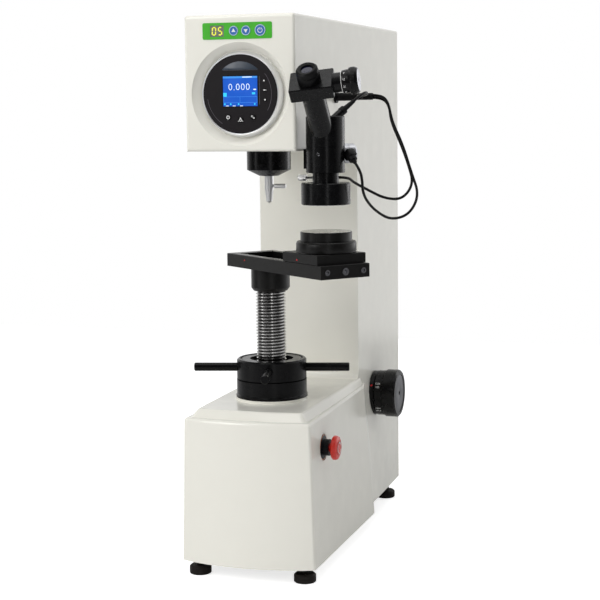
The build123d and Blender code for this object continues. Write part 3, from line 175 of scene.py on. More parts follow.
@dataclass(frozen=True)
class Finish:
    """One surface finish, with sizes in millimetres."""

    name: str
    colour: str
    roughness: float
    pattern: Pattern = Pattern.GRAINED
    metallic: float = 0.0
    ior: float = 1.5
    specular: float = 0.5
    grain: float = 1.2
    relief: float = 0.01
    shift: float = 0.04
    glow: float = 0.0
    axis: Optional[Facing] = None
    count: int = 60
    pitch: float = 1.5
    root_colour: str = ""
    root: tuple[float, float] = (0.0, 0.0)

    def build(self) -> bpy.types.Material:
        """Makes the material, once.

        Returns:
            The material of this finish.
        """
        known = bpy.data.materials.get(self.name)
        if known:
            return known
        material = bpy.data.materials.new(self.name)
        material.use_nodes = True
        tree = material.node_tree
        shader = tree.nodes["Principled BSDF"]
        shader.inputs["Metallic"].default_value = self.metallic
        if not self.metallic:
            shader.inputs["IOR"].default_value = self.ior
            shader.inputs["Specular IOR Level"].default_value = self.specular
        here = add_node(tree, "ShaderNodeTexCoord").outputs["Object"]
        cloud = add_node(tree, "ShaderNodeTexNoise", {"Vector": here, "Scale": 1 / (self.grain * 18 * MM),
                                                      "Detail": 3.0}).outputs[0]
        dark, light = self._shades()
        paint = add_node(tree, "ShaderNodeMix", {0: cloud, 6: dark, 7: light}, data_type="RGBA")
        shade = paint.outputs[2]
        # painted shade: the colour darkens towards the thread's root radius
        if self.root_colour:
            shade = self._paint_root_shade(tree, here, shade)
        tree.links.new(shade, shader.inputs["Base Color"])
        gloss = add_node(tree, "ShaderNodeMapRange", {0: cloud, 1: 0.3, 2: 0.7,
                                                      3: max(self.roughness - 0.05, 0.02),
                                                      4: self.roughness + 0.05})
        tree.links.new(gloss.outputs[0], shader.inputs["Roughness"])
        if self.glow:
            shader.inputs["Emission Color"].default_value = linear(self.colour)
            shader.inputs["Emission Strength"].default_value = self.glow
        if self.relief:
            bump = add_node(tree, "ShaderNodeBump", {"Height": self._height(tree, here), "Strength": 1.0,
                                                     "Distance": self.relief * MM})
            tree.links.new(bump.outputs[0], shader.inputs["Normal"])
        return material

    def _paint_root_shade(self, tree: bpy.types.NodeTree, here: bpy.types.NodeSocket,
                paint: bpy.types.NodeSocket) -> bpy.types.NodeSocket:
        """Paints shade into the bottom of a thread, darker towards the roots.

        Args:
            tree: The material's node tree.
            here: Object coordinates.
            paint: Colour of the crests.

        Returns:
            The colour with painted shade in its roots.
        """
        centred = add_node(tree, "ShaderNodeVectorMath", {0: here, 1: SCREW_AXIS.origin},
                           operation="SUBTRACT")
        flat = add_node(tree, "ShaderNodeVectorMath", {0: centred.outputs[0], 1: (1, 1, 0)},
                        operation="MULTIPLY")
        reach = add_node(tree, "ShaderNodeVectorMath", {0: flat.outputs[0]}, operation="LENGTH")
        share = add_node(tree, "ShaderNodeMapRange", {0: reach.outputs["Value"], 1: self.root[0] * MM,
                                                      2: self.root[1] * MM})
        return add_node(tree, "ShaderNodeMix", {0: share.outputs[0], 6: linear(self.root_colour), 7: paint},
                        data_type="RGBA").outputs[2]

    def _shades(self) -> tuple[tuple[float, ...], tuple[float, ...]]:
        """The darkest and lightest tone of the finish."""
        base = linear(self.colour)
        dark = tuple(c * (1 - self.shift) for c in base[:3]) + (1.0,)
        light = tuple(min(c * (1 + self.shift), 1.0) for c in base[:3]) + (1.0,)
        return dark, light

    def _height(self, tree: bpy.types.NodeTree, here: bpy.types.NodeSocket) -> bpy.types.NodeSocket:
        """Lays out the relief of the pattern.

        Args:
            tree: The material's node tree.
            here: Object coordinates.

        Returns:
            The height, from 0 to 1.
        """
        if self.pattern is Pattern.GRAINED:
            return add_node(tree, "ShaderNodeTexNoise", {"Vector": here, "Scale": 1 / (self.grain * MM),
                                                         "Detail": 2.0}).outputs[0]
        facing = self.axis or SCREW_AXIS
        spin = facing.matrix().to_euler()
        local = add_node(tree, "ShaderNodeMapping", {"Vector": here, "Location": facing.origin,
                                                     "Rotation": spin}, vector_type="TEXTURE")
        split = add_node(tree, "ShaderNodeSeparateXYZ", {0: local.outputs[0]})
        across, upward, along = split.outputs[0], split.outputs[1], split.outputs[2]
        if self.pattern is Pattern.TURNED:
            flat = add_node(tree, "ShaderNodeCombineXYZ", {0: across, 1: upward})
            reach = add_node(tree, "ShaderNodeVectorMath", {0: flat.outputs[0]}, operation="LENGTH")
            total = add_node(tree, "ShaderNodeMath", {0: reach.outputs["Value"], 1: along},
                             operation="ADD").outputs[0]
            ring = add_node(tree, "ShaderNodeCombineXYZ", {0: total})
            return add_node(tree, "ShaderNodeTexNoise", {"Vector": ring.outputs[0],
                                                         "Scale": 1 / (self.pitch * MM)}).outputs[0]
        angle = add_node(tree, "ShaderNodeMath", {0: upward, 1: across}, operation="ARCTAN2").outputs[0]
        turns = add_node(tree, "ShaderNodeMath", {0: angle, 1: float(self.count)},
                         operation="MULTIPLY").outputs[0]
        wave = add_node(tree, "ShaderNodeMath", {0: turns}, operation="SINE").outputs[0]
        return add_node(tree, "ShaderNodeMapRange", {0: wave, 1: -1.0, 2: 1.0}).outputs[0]


def metal(name: str, colour: str, roughness: float, **rest: Any) -> Finish:
    """A bare or plated metal; rest is any other value of its finish."""
    return Finish(name, colour, roughness, metallic=1.0, **rest)


def black(name: str, colour: str, roughness: float, **rest: Any) -> Finish:
    """A black with a soft sheen; rest is any other value of its finish."""
    return Finish(name, colour, roughness, specular=0.16, **{"shift": 0.1, **rest})


def smooth(name: str, colour: str, roughness: float, **rest: Any) -> Finish:
    """A print, a lens or a lit sign, with no relief; rest is any other value of its finish."""
    return Finish(name, colour, roughness, relief=0.0, **rest)


# baked enamel on filled iron: an even cream with a faint orange peel
ENAMEL = Finish("baked_enamel", "EDEBE1", 0.2, grain=1.6, relief=0.006, shift=0.012)
ENAMEL_COVER = Finish("enamelled_sheet", "EAE8DD", 0.26, grain=1.7, relief=0.001, shift=0.0)
# zinc-plated screw heads: pale grey, a little mottled
ZINC = metal("zinc_plate", "A9A9A4", 0.35, grain=0.6, relief=0.01, shift=0.1)
# moulded rubber of the feet: dead black with a fine grain
FOOT_RUBBER = black("moulded_rubber", "1D1917", 0.6, grain=0.5, relief=0.03, shift=0.15)
# printed polyester film: flat bright green under a satin coat
PANEL_FILM = Finish("printed_film", "3FB022", 0.4, grain=0.8, relief=0.002, shift=0.02, specular=0.35)
PANEL_KEY = Finish("embossed_key_film", "1763AE", 0.4, grain=0.6, relief=0.002, shift=0.03)
KEY_RIM = smooth("printed_white", "DDE9EE", 0.45, grain=0.6, shift=0.01)
WINDOW = smooth("smoked_window", "6E7568", 0.25, grain=0.8, shift=0.05)
DIGIT = smooth("lit_segments", "F0F03C", 0.4, glow=0.35)
# charcoal ABS fascia with a fine spark-eroded grain
FASCIA = Finish("charcoal_abs", "161215", 0.5, grain=0.25, relief=0.008, shift=0.06, specular=0.2)
FASCIA_KEY = black("black_key_cap", "0C0B0C", 0.4, grain=0.3, relief=0.004, shift=0.06)
BADGE = smooth("badge_foil", "1D2C3C", 0.35, grain=0.8, shift=0.1)
GROOVE = smooth("moulded_groove", "57525A", 0.5, grain=0.4, shift=0.1)
# backlit display: a deep blue, with paler fields
SCREEN = smooth("lit_display", "1A55BC", 0.2, shift=0.12, grain=1.0, glow=0.35)
SCREEN_PALE = smooth("lit_display_pale", "3F8BDC", 0.2, shift=0.05, glow=0.35)
SCREEN_CYAN = smooth("lit_display_cyan", "35C4F0", 0.2, glow=0.4)
SCREEN_WHITE = smooth("lit_display_white", "DDEEFA", 0.3, glow=0.35)
# clear-anodised turned aluminium: pale satin rings
BEZEL = metal("satin_turned_aluminium", "F2F3F6", 0.34, pattern=Pattern.TURNED, relief=0.0005, shift=0.015,
              axis=GAUGE_FACE, pitch=0.4)
# black anodised aluminium: deep black with a soft sheen
ANODISED = black("black_anodised_aluminium", "09090A", 0.26, grain=0.4, relief=0.002, ior=1.6)
DIAL_BLACK = replace(ANODISED, name="black_anodised_dial")
SATIN_PLASTIC = black("black_moulded_plastic", "0A0A0B", 0.45, grain=0.3, relief=0.008)
# hot-blackened ground steel: near black, faintly brown
BLACKENED = black("blackened_steel", "0B0A09", 0.36, grain=0.5, relief=0.003, shift=0.12, ior=1.7)
# ground tool steel: bright, with fine circular marks
GROUND = metal("ground_steel", "D2D2CE", 0.26, pattern=Pattern.TURNED, relief=0.0006, shift=0.05,
               axis=SCOPE_AXIS, pitch=0.6)
BRIGHT = metal("bright_steel", "BDBDBB", 0.25, grain=0.5, relief=0.002, shift=0.05)
# rolled thread: bright crests, with painted shade darkening the roots
THREAD = metal("thread_painted_root_shade", "C9C8C6", 0.2, grain=0.4, relief=0.002, shift=0.1, root_colour="2A2928",
               root=(17.2, 18.2))
OILED_SCREW = metal("oiled_screw", "8C8C90", 0.2, grain=0.4, relief=0.002, shift=0.1)
# pale matte strip for the stage rail's bare machined edge: a painted highlight where the edge catches the
# light
EDGE_HIGHLIGHT = smooth("painted_edge_highlight", "D5D5D0", 0.5, grain=0.4, shift=0.05)
# cast iron painted satin black
WHEEL = black("satin_black_iron", "0B0B0C", 0.24, grain=0.9, relief=0.006)
# satin silver aluminium with turning marks
LAMP_SILVER = metal("satin_silver_aluminium", "C3C4C8", 0.3, pattern=Pattern.TURNED, relief=0.003,
                    axis=LAMP_AXIS, pitch=0.4)
LAMP_SILVER_END = metal("turned_silver_end", "B9BAC0", 0.3, pattern=Pattern.TURNED, relief=0.003, shift=0.05,
                        axis=DRUM_AXIS, pitch=0.4)
KNURLED_STEEL = metal("knurled_bright_steel", "CFCFCE", 0.3, pattern=Pattern.KNURLED, relief=0.15, shift=0.05,
                      axis=RING_SCREW_AXIS, count=28)
SEAM = metal("polished_seam", "2C2C2F", 0.2, grain=0.4, relief=0.0, shift=0.05)
# soft PVC of the leads and moulded plugs
SHEATH = black("pvc_sheath", "0A0A0B", 0.42, grain=0.4, relief=0.01)
PLUG = black("moulded_plug", "0B0B0C", 0.5, grain=0.4, relief=0.02)
COLLAR_BLACK = black("black_nylon", "0E0E12", 0.42, grain=0.4, relief=0.006)
# glossy ABS of the stop button and its legend ring
RED_CAP = Finish("red_abs", "D32A1E", 0.28, grain=0.8, relief=0.002, shift=0.05)
RED_DISC = replace(RED_CAP, name="deep_red_abs", colour="B32420", roughness=0.35)
ORANGE_RING = replace(RED_CAP, name="orange_abs", colour="EE7A22", roughness=0.35)
DIAL_FACE = metal("turned_grey_end", "55565A", 0.38, pattern=Pattern.TURNED, relief=0.004, shift=0.08,
                  axis=DIAL_AXIS, pitch=0.5)
CAST = Finish("cast_iron", "4A4A49", 0.6, grain=1.2, relief=0.06, shift=0.15)
INK = smooth("white_engraving", "E8E8E6", 0.5, shift=0.02)
RED_INK = smooth("red_engraving", "C8161C", 0.5, shift=0.03)
GLASS = smooth("coated_lens", "0A0C2A", 0.08, shift=0.2, specular=0.3)
GLOW = smooth("led_ring", "FFFFFF", 0.4, glow=1.0)

DRESS: tuple[tuple[Finish, str], ...] = (
    (ENAMEL, "body_casting"),
    (ENAMEL_COVER, "top_cover rear_cover"),
    (ZINC, "cover_screws"),
    (FOOT_RUBBER, "levelling_feet"),
    (PANEL_FILM, "panel_plate"),
    (PANEL_KEY, "panel_key_up panel_key_down panel_key_start"),
    (SATIN_PLASTIC, "gauge_housing eyepiece"),
    (BEZEL, "gauge_bezel"),
    (FASCIA, "gauge_face"),
    (SCREEN, "gauge_screen"),
    (FASCIA_KEY, "gauge_key_side_1 gauge_key_side_2 gauge_key_side_3"),
    (FASCIA_KEY, "gauge_key_round_1 gauge_key_round_2 gauge_key_round_3"),
    (BRIGHT, "spindle indenter indenter_screw thrust_bearing"),
    (THREAD, "lead_screw"),
    (WHEEL, "handwheel handwheel_rods screw_guard"),
    (BLACKENED, "stage_hub stage_rail stage_end_plate stage_slider anvil_holder anvil"),
    (OILED_SCREW, "stage_end_screws"),
    (ANODISED, "spindle_collar microscope_bracket microscope_body prism_housing micrometer_box"),
    (ANODISED, "micrometer_sleeve micrometer_thimble objective_neck ring_light"),
    (KNURLED_STEEL, "ring_light_screw"),
    (LAMP_SILVER, "lamp_housing"),
    (PLUG, "lamp_plug illuminator_plug cable_plug power_inlet power_switch"),
    (DIAL_BLACK, "dial_flange force_dial"),
    (COLLAR_BLACK, "stop_collar"),
    (RED_CAP, "stop_button"),
    (CAST, "main_lever weight_stack"),
)


def dress_castings() -> None:
    """Gives every carried-over solid its finish."""
    for finish, names in DRESS:
        for name in names.split():
            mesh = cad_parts[name].data
            mesh.materials.clear()
            mesh.materials.append(finish.build())
    LOG.info("dressed the solids in %d finishes", len(DRESS))


# ------------------------------------------------------------------ camera and light
@dataclass
class Studio:
    """Floor, lamps, world and camera."""

    focal: float = 1546.2
    image: float = 600.0
    sensor: float = 36.0
    eye: tuple[float, float, float] = (640.35, -1768.96, 587.06)
    yaw: float = 0.3101
    pitch: float = 0.1233
    tilt: float = -0.0116
    floor_size: float = 3.6
    floor_grey: float = 0.82
    floor_lift: float = 0.72
    world_glow: float = 0.37
    front_glow: float = 0.06
    aim: tuple[float, float, float] = (0, 0, 0.35)
    lamps: tuple[tuple[Any, ...], ...] = (
        ("key_box", (-1.5, -2.6, 1.9), (1.2, 1.8), 42.0),
        ("fill_box", (0.95, 1.2, 0.7), (0.5, 0.8), 3.4),
        ("top_box", (0.1, -0.5, 2.6), (1.8, 1.8), 20.0),
        ("left_strip", (-1.9, -1.5, 0.7), (0.28, 2.0), 5.0),
        ("right_strip", (1.0, -2.2, 0.7), (0.2, 2.0), 3.5))

    def camera(self) -> None:
        """Sets the camera at the front right of the machine."""
        ahead = Vector((-sin(self.yaw) * cos(self.pitch), cos(self.yaw) * cos(self.pitch), -sin(self.pitch)))
        right = Vector((cos(self.yaw), sin(self.yaw), 0))
        up = right.cross(ahead)
        across = right * cos(self.tilt) + up * sin(self.tilt)
        upright = up * cos(self.tilt) - right * sin(self.tilt)
        data = bpy.data.cameras.new("studio_camera")
        data.sensor_width = self.sensor
        data.lens = self.focal / self.image * self.sensor
        data.clip_end = 50.0
        rig = bpy.data.objects.new("studio_camera", data)
        turned = Matrix((across, upright, -ahead)).transposed()
        rig.matrix_world = Matrix.Translation(place(*self.eye)) @ turned.to_4x4()
        bpy.context.scene.collection.objects.link(rig)
        bpy.context.scene.camera = rig

    def backdrop(self) -> None:
        """Lays a floor that shows white to the camera and keeps the machine's shadow."""
        bpy.ops.object.select_all(action="DESELECT")
        bpy.ops.mesh.primitive_plane_add(size=self.floor_size, location=(0, 0, -0.0002))
        floor = bpy.context.object
        floor.name = "studio_floor"
        material = bpy.data.materials.new("matt_paper")
        material.use_nodes = True
        tree = material.node_tree
        shader = tree.nodes["Principled BSDF"]
        shader.inputs["Base Color"].default_value = (*(self.floor_grey,) * 3, 1)
        shader.inputs["Roughness"].default_value = 0.9
        path = add_node(tree, "ShaderNodeLightPath")
        lift = add_node(tree, "ShaderNodeEmission", {"Color": (1, 1, 1, 1), "Strength": self.floor_lift})
        both = add_node(tree, "ShaderNodeAddShader", {0: shader.outputs[0], 1: lift.outputs[0]})
        pick = add_node(tree, "ShaderNodeMixShader", {0: path.outputs["Is Camera Ray"],
                                                      1: shader.outputs[0], 2: both.outputs[0]})
        tree.links.new(pick.outputs[0], tree.nodes["Material Output"].inputs["Surface"])
        floor.data.materials.append(material)

    def light(self) -> None:
        """Hangs three soft boxes, two tall strips and a pale world."""
        for name, spot_at, size, power in self.lamps:
            data = bpy.data.lights.new(name, "AREA")
            data.shape = "RECTANGLE"
            data.size, data.size_y = size
            data.energy = power
            lamp = bpy.data.objects.new(name, data)
            turned = (Vector(self.aim) - Vector(spot_at)).to_track_quat("-Z", "Y")
            lamp.matrix_world = Matrix.Translation(spot_at) @ turned.to_matrix().to_4x4()
            bpy.context.scene.collection.objects.link(lamp)
        world = bpy.data.worlds.new("pale_world")
        bpy.context.scene.world = world
        world.use_nodes = True
        tree = world.node_tree
        tree.nodes.clear()
        path = add_node(tree, "ShaderNodeLightPath")
        way = add_node(tree, "ShaderNodeSeparateXYZ",
                       {0: add_node(tree, "ShaderNodeTexCoord").outputs["Generated"]})
        back = add_node(tree, "ShaderNodeMapRange", {0: way.outputs[1], 1: -0.2, 2: 0.5,
                                                     3: self.front_glow, 4: 1.0})
        dim = add_node(tree, "ShaderNodeBackground", {"Color": (0.93, 0.94, 0.96, 1),
                                                      "Strength": self.world_glow})
        seen = add_node(tree, "ShaderNodeBackground", {"Color": (1, 1, 1, 1), "Strength": back.outputs[0]})
        white = add_node(tree, "ShaderNodeBackground", {"Color": (1, 1, 1, 1), "Strength": 1.0})
        mirrored = add_node(tree, "ShaderNodeMath", {0: path.outputs["Is Glossy Ray"],
                                                     1: path.outputs["Is Transmission Ray"]},
                            operation="MAXIMUM")
        soft = add_node(tree, "ShaderNodeMixShader", {0: mirrored.outputs[0], 1: dim.outputs[0],
                                                      2: seen.outputs[0]})
        pick = add_node(tree, "ShaderNodeMixShader", {0: path.outputs["Is Camera Ray"],
                                                      1: soft.outputs[0], 2: white.outputs[0]})
        end = add_node(tree, "ShaderNodeOutputWorld")
        tree.links.new(pick.outputs[0], end.inputs["Surface"])

    def build(self) -> None:
        """Sets up the whole studio."""
        bpy.context.scene.view_settings.view_transform = "Standard"
        self.camera()
        self.backdrop()
        self.light()
        LOG.info("studio ready")


# ------------------------------------------------------------------ cables
@dataclass
class Cables:
    """The three thin leads of the microscope."""

    diameter: float = 3.4
    split_y: float = 1.3
    split_z: float = 1.6
    top_start: tuple[float, float, float] = (SCOPE_X + 13.0, SCOPE_Y + 6.0, 577.7)
    top_run: tuple[float, float, float] = (0.507, 0.647, 0.571)

    def lead(self, name: str, route: Sequence[Vector], length: float, plugs: Sequence[str]) -> None:
        """Args:
            name: The solid that it replaces.
            route: Its control points.
            length: Real length in metres; not used.
            plugs: Solids that go with it; not used.
        """
        data = bpy.data.curves.new(f"{name}_lead", "CURVE")
        data.dimensions = "3D"
        data.bevel_depth = self.diameter / 2 * MM
        data.bevel_resolution = 5
        data.resolution_u = 10
        data.use_fill_caps = True
        spline = data.splines.new("NURBS")
        spline.points.add(len(route) - 1)
        for point, spot in zip(spline.points, route):
            point.co = (*spot, 1.0)
        spline.order_u = 3
        spline.use_endpoint_u = True
        lead = bpy.data.objects.new(f"{name}_lead", data)
        bpy.context.scene.collection.objects.link(lead)
        data.materials.append(SHEATH.build())
        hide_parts(name)
        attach(lead, "frame")
        LOG.info("laid %s", name)

    def on_plug(self, start: Sequence[float], run: Sequence[float], along: float) -> Vector:
        """A point on a plug's axis, at a distance from where the plug starts."""
        return place(*(s + r * along for s, r in zip(start, run)))

    def build(self) -> None:
        """Lays the three leads."""
        y, z = self.split_y, self.split_z
        self.lead("lamp_cable", [
            place(118.5, 168 - y, 601.3 + z), place(131.8, 168 - y, 601.3 + z), place(142.5, 163.9, 594.5),
            place(149.2, 157, 568.6), place(165.1, 148, 540.8), place(179.8, 135, 504.7),
            place(192.8, 122, 477.8), place(184.4, 105, 454.4), place(166.4, 85, 448.8),
            place(153.8, 65, 459.3), place(146.7, 45, 472.8), place(145.9, 25.7, 486.8),
            place(147.8, 17.7, 500.4), self.on_plug(LAMP_PLUG_START, LAMP_PLUG_WAY, 27.5),
            self.on_plug(LAMP_PLUG_START, LAMP_PLUG_WAY, 12.1)], 0.333, ["lamp_plug", "cable_plug"])
        spoke = Vector((cos(radians(45)), sin(radians(45)), 0))
        ring = Vector((SCOPE_X, SCOPE_Y, RING_SCREW_Z))
        self.lead("ring_light_cable", [
            place(118.5, 168 + y, 601.3 - z), place(131.8, 168 + y, 601.3 - z), place(142.5, 168.4, 590.8),
            place(146.3, 163, 569.1), place(160.7, 155, 541.9), place(173.8, 144, 514.4),
            place(182.9, 133, 491), place(172.8, 116, 472.4), place(154.7, 96, 474.7),
            place(138.4, 78, 486.1), place(125, 60, 496.4), place(*(ring + spoke * 30.5)),
            place(*(ring + spoke * 13.0))], 0.2775, [])
        self.lead("illuminator_cable", [
            place(108, 157.4, 601.3), place(108, 138, 601.3), place(117, 120, 602), place(127, 103, 602.5),
            place(134.5, 88, 603.2), place(139.2, 73.4, 605.8),
            self.on_plug(self.top_start, self.top_run, 46.0),
            self.on_plug(self.top_start, self.top_run, 28.1)], 0.1239, ["illuminator_plug"])


# ------------------------------------------------------------------ shaping
@dataclass
class Blank:
    """A primitive shaped in edit mode into a piece: millimetres, with its outer side along +Z."""

    name: str

    @property
    def mesh(self) -> bpy.types.Mesh:
        """The mesh in hand."""
        return bpy.context.object.data

    def disc(self, radius: float, sides: int = 64) -> "Blank":
        """Starts from a round plate.

        Args:
            radius: Radius of the plate.
            sides: Sides of its outline.

        Returns:
            The blank, all selected.
        """
        bpy.ops.object.select_all(action="DESELECT")
        bpy.ops.mesh.primitive_circle_add(vertices=sides, radius=radius * MM, fill_type="NGON")
        return self.open()

    def plate(self, width: float, height: float) -> "Blank":
        """Starts from a rectangular plate.

        Args:
            width: Size along X.
            height: Size along Y.

        Returns:
            The blank, all selected.
        """
        bpy.ops.object.select_all(action="DESELECT")
        bpy.ops.mesh.primitive_plane_add(size=MM)
        return self.open().scale(width, height)

    def open(self) -> "Blank":
        """Names the blank and enters edit mode."""
        bpy.context.object.name = self.name
        bpy.ops.object.mode_set(mode="EDIT")
        bpy.ops.mesh.select_all(action="SELECT")
        return self

    def scale(self, across: float, upward: float = 1.0) -> "Blank":
        """Scales what is selected about the middle."""
        bpy.ops.transform.resize(value=(across, upward, 1.0), center_override=(0, 0, 0))
        return self

    def move(self, across: float, upward: float, along: float = 0.0) -> "Blank":
        """Moves what is selected."""
        bpy.ops.transform.translate(value=(across * MM, upward * MM, along * MM))
        return self

    def rise(self, height: float) -> "Blank":
        """Extrudes what is selected upwards."""
        bpy.ops.mesh.extrude_region_move(TRANSFORM_OT_translate={"value": (0, 0, height * MM)})
        return self

    def inset(self, width: float) -> "Blank":
        """Insets the selected face."""
        bpy.ops.mesh.inset(thickness=width * MM)
        return self

    def hollow(self, width: float) -> "Blank":
        """Cuts the middle out and leaves a rim of a width."""
        self.inset(width)
        bpy.ops.mesh.delete(type="FACE")
        bpy.ops.mesh.select_all(action="SELECT")
        return self

    def keep(self, wanted: Callable[[Vector], bool]) -> "Blank":
        """Deletes the faces whose middle fails a test.

        Args:
            wanted: The test, on a face's middle in millimetres.

        Returns:
            The blank, all selected.
        """
        bpy.ops.mesh.select_mode(type="FACE")
        bpy.ops.mesh.select_all(action="DESELECT")
        bpy.ops.object.mode_set(mode="OBJECT")
        for face in self.mesh.polygons:
            face.select = not wanted(face.center / MM)
        bpy.ops.object.mode_set(mode="EDIT")
        bpy.ops.mesh.delete(type="FACE")
        bpy.ops.mesh.select_all(action="SELECT")
        return self

    def pick(self, wanted: Callable[[int, Vector], bool]) -> "Blank":
        """Selects points by their number and place.

        Args:
            wanted: The test, on a point's number and its place in millimetres.

        Returns:
            The blank, with those points selected.
        """
        bpy.ops.mesh.select_mode(type="VERT")
        bpy.ops.mesh.select_all(action="DESELECT")
        bpy.ops.object.mode_set(mode="OBJECT")
        for point in self.mesh.vertices:
            point.select = wanted(point.index, point.co / MM)
        bpy.ops.object.mode_set(mode="EDIT")
        return self

    def all(self) -> "Blank":
        """Selects everything."""
        bpy.ops.mesh.select_all(action="SELECT")
        return self

    def done(self, finish: Finish, matrix: Matrix, soften: float = 0.0) -> bpy.types.Object:
        """Closes the piece, rounds its edges, dresses it and sets it in its place.

        Args:
            finish: Its finish.
            matrix: Where it goes.
            soften: Radius of its rounded edges.

        Returns:
            The piece, its place in its mesh.
        """
        self.all()
        bpy.ops.mesh.normals_make_consistent(inside=False)
        bpy.ops.object.mode_set(mode="OBJECT")
        if soften:
            edge = bpy.context.object.modifiers.new("rounded_edges", "BEVEL")
            edge.width = soften * MM
            edge.segments = 2
            edge.limit_method = "ANGLE"
            bpy.ops.object.modifier_apply(modifier=edge.name)
        return settle(bpy.context.object, finish, matrix)


def settle(piece: bpy.types.Object, finish: Finish, matrix: Matrix) -> bpy.types.Object:
    """Dresses a piece and puts its place in its mesh.

    Args:
        piece: The object in hand.
        finish: Its finish.
        matrix: Where it goes.

    Returns:
        The same piece.
    """
    piece.data.materials.append(finish.build())
    piece.matrix_world = matrix @ piece.matrix_world
    bpy.ops.object.select_all(action="DESELECT")
    piece.select_set(True)
    bpy.context.view_layer.objects.active = piece
    bpy.ops.object.transform_apply(location=True, rotation=True, scale=True)
    return piece


def assemble(name: str, parts: Sequence[bpy.types.Object], body: str) -> bpy.types.Object:
    """Joins marks or parts that move together into one piece.

    Args:
        name: Its name.
        parts: What is joined.
        body: The body that it rides on.

    Returns:
        The joined piece.
    """
    bpy.ops.object.select_all(action="DESELECT")
    for part in parts:
        part.select_set(True)
    bpy.context.view_layer.objects.active = parts[0]
    if len(parts) > 1:
        bpy.ops.object.join()
    piece = bpy.context.object
    piece.name = name
    bpy.ops.object.shade_smooth_by_angle(angle=radians(35))
    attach(piece, body)
    LOG.info("made %s", name)
    return piece


PRINTED = 0.05      # thickness of ink, sunk half-way into what it is printed on


def bar(width: float, height: float, finish: Finish, matrix: Matrix) -> bpy.types.Object:
    """A printed bar."""
    return Blank("bar").plate(width, height).rise(PRINTED).done(finish, matrix)


def spot(radius: float, finish: Finish, matrix: Matrix, sides: int = 24) -> bpy.types.Object:
    """A printed dot, or a regular shape of a few sides with a corner up."""
    return Blank("spot").disc(radius, sides).rise(PRINTED).done(finish, matrix)


def band(outer: float, width: float, finish: Finish, matrix: Matrix, start: float = 0.0,
         sweep: float = 360.0, thickness: float = PRINTED) -> bpy.types.Object:
    """A flat curved band.

    Args:
        outer: Outer radius.
        width: Width of the band.
        finish: Its finish.
        matrix: Where its middle goes.
        start: Where it starts, in degrees from the right.
        sweep: How far it runs, in degrees.
        thickness: How thick it is.

    Returns:
        The band.
    """
    def within(middle: Vector) -> bool:
        return (degrees(atan2(middle.y, middle.x)) - start) % 360 <= sweep

    blank = Blank("band").disc(outer, 96).hollow(width)
    if sweep < 360:
        blank.keep(within)
    return blank.rise(thickness).done(finish, matrix)


def figures(text: str, height: float, finish: Finish, matrix: Matrix, thin: float = 0.0,
            spread: float = 1.0) -> bpy.types.Object:
    """Printed figures.

    Args:
        text: What they say.
        height: Height of the figures.
        finish: Their finish.
        matrix: Where their middle goes.
        thin: How much is taken off each side of their strokes.
        spread: How far apart they stand, as a share of the usual.

    Returns:
        The figures as a mesh.
    """
    bpy.ops.object.select_all(action="DESELECT")
    bpy.ops.object.text_add()
    data = bpy.context.object.data
    data.body = text
    data.size = height / 0.7 * MM
    data.extrude = PRINTED / 2 * MM
    data.align_x = "CENTER"
    data.align_y = "CENTER"
    data.resolution_u = 3
    data.offset = -thin * MM
    data.space_character = spread
    bpy.ops.object.convert(target="MESH")
    return settle(bpy.context.object, finish, matrix)


def on_barrel(axis: Facing, radius: float, along: float, angle: float) -> Facing:
    """A place on a turned surface, with its right side along the axis.

    Args:
        axis: The axis it is turned about.
        radius: Radius of the surface.
        along: Distance along the axis.
        angle: Degrees from the axis frame's right towards its up.

    Returns:
        The place, facing outwards.
    """
    outward = axis.right * cos(radians(angle)) + axis.up * sin(radians(angle))
    return Facing(axis.origin + (axis.normal * along + outward * radius) * MM, axis.normal,
                  outward.cross(axis.normal))


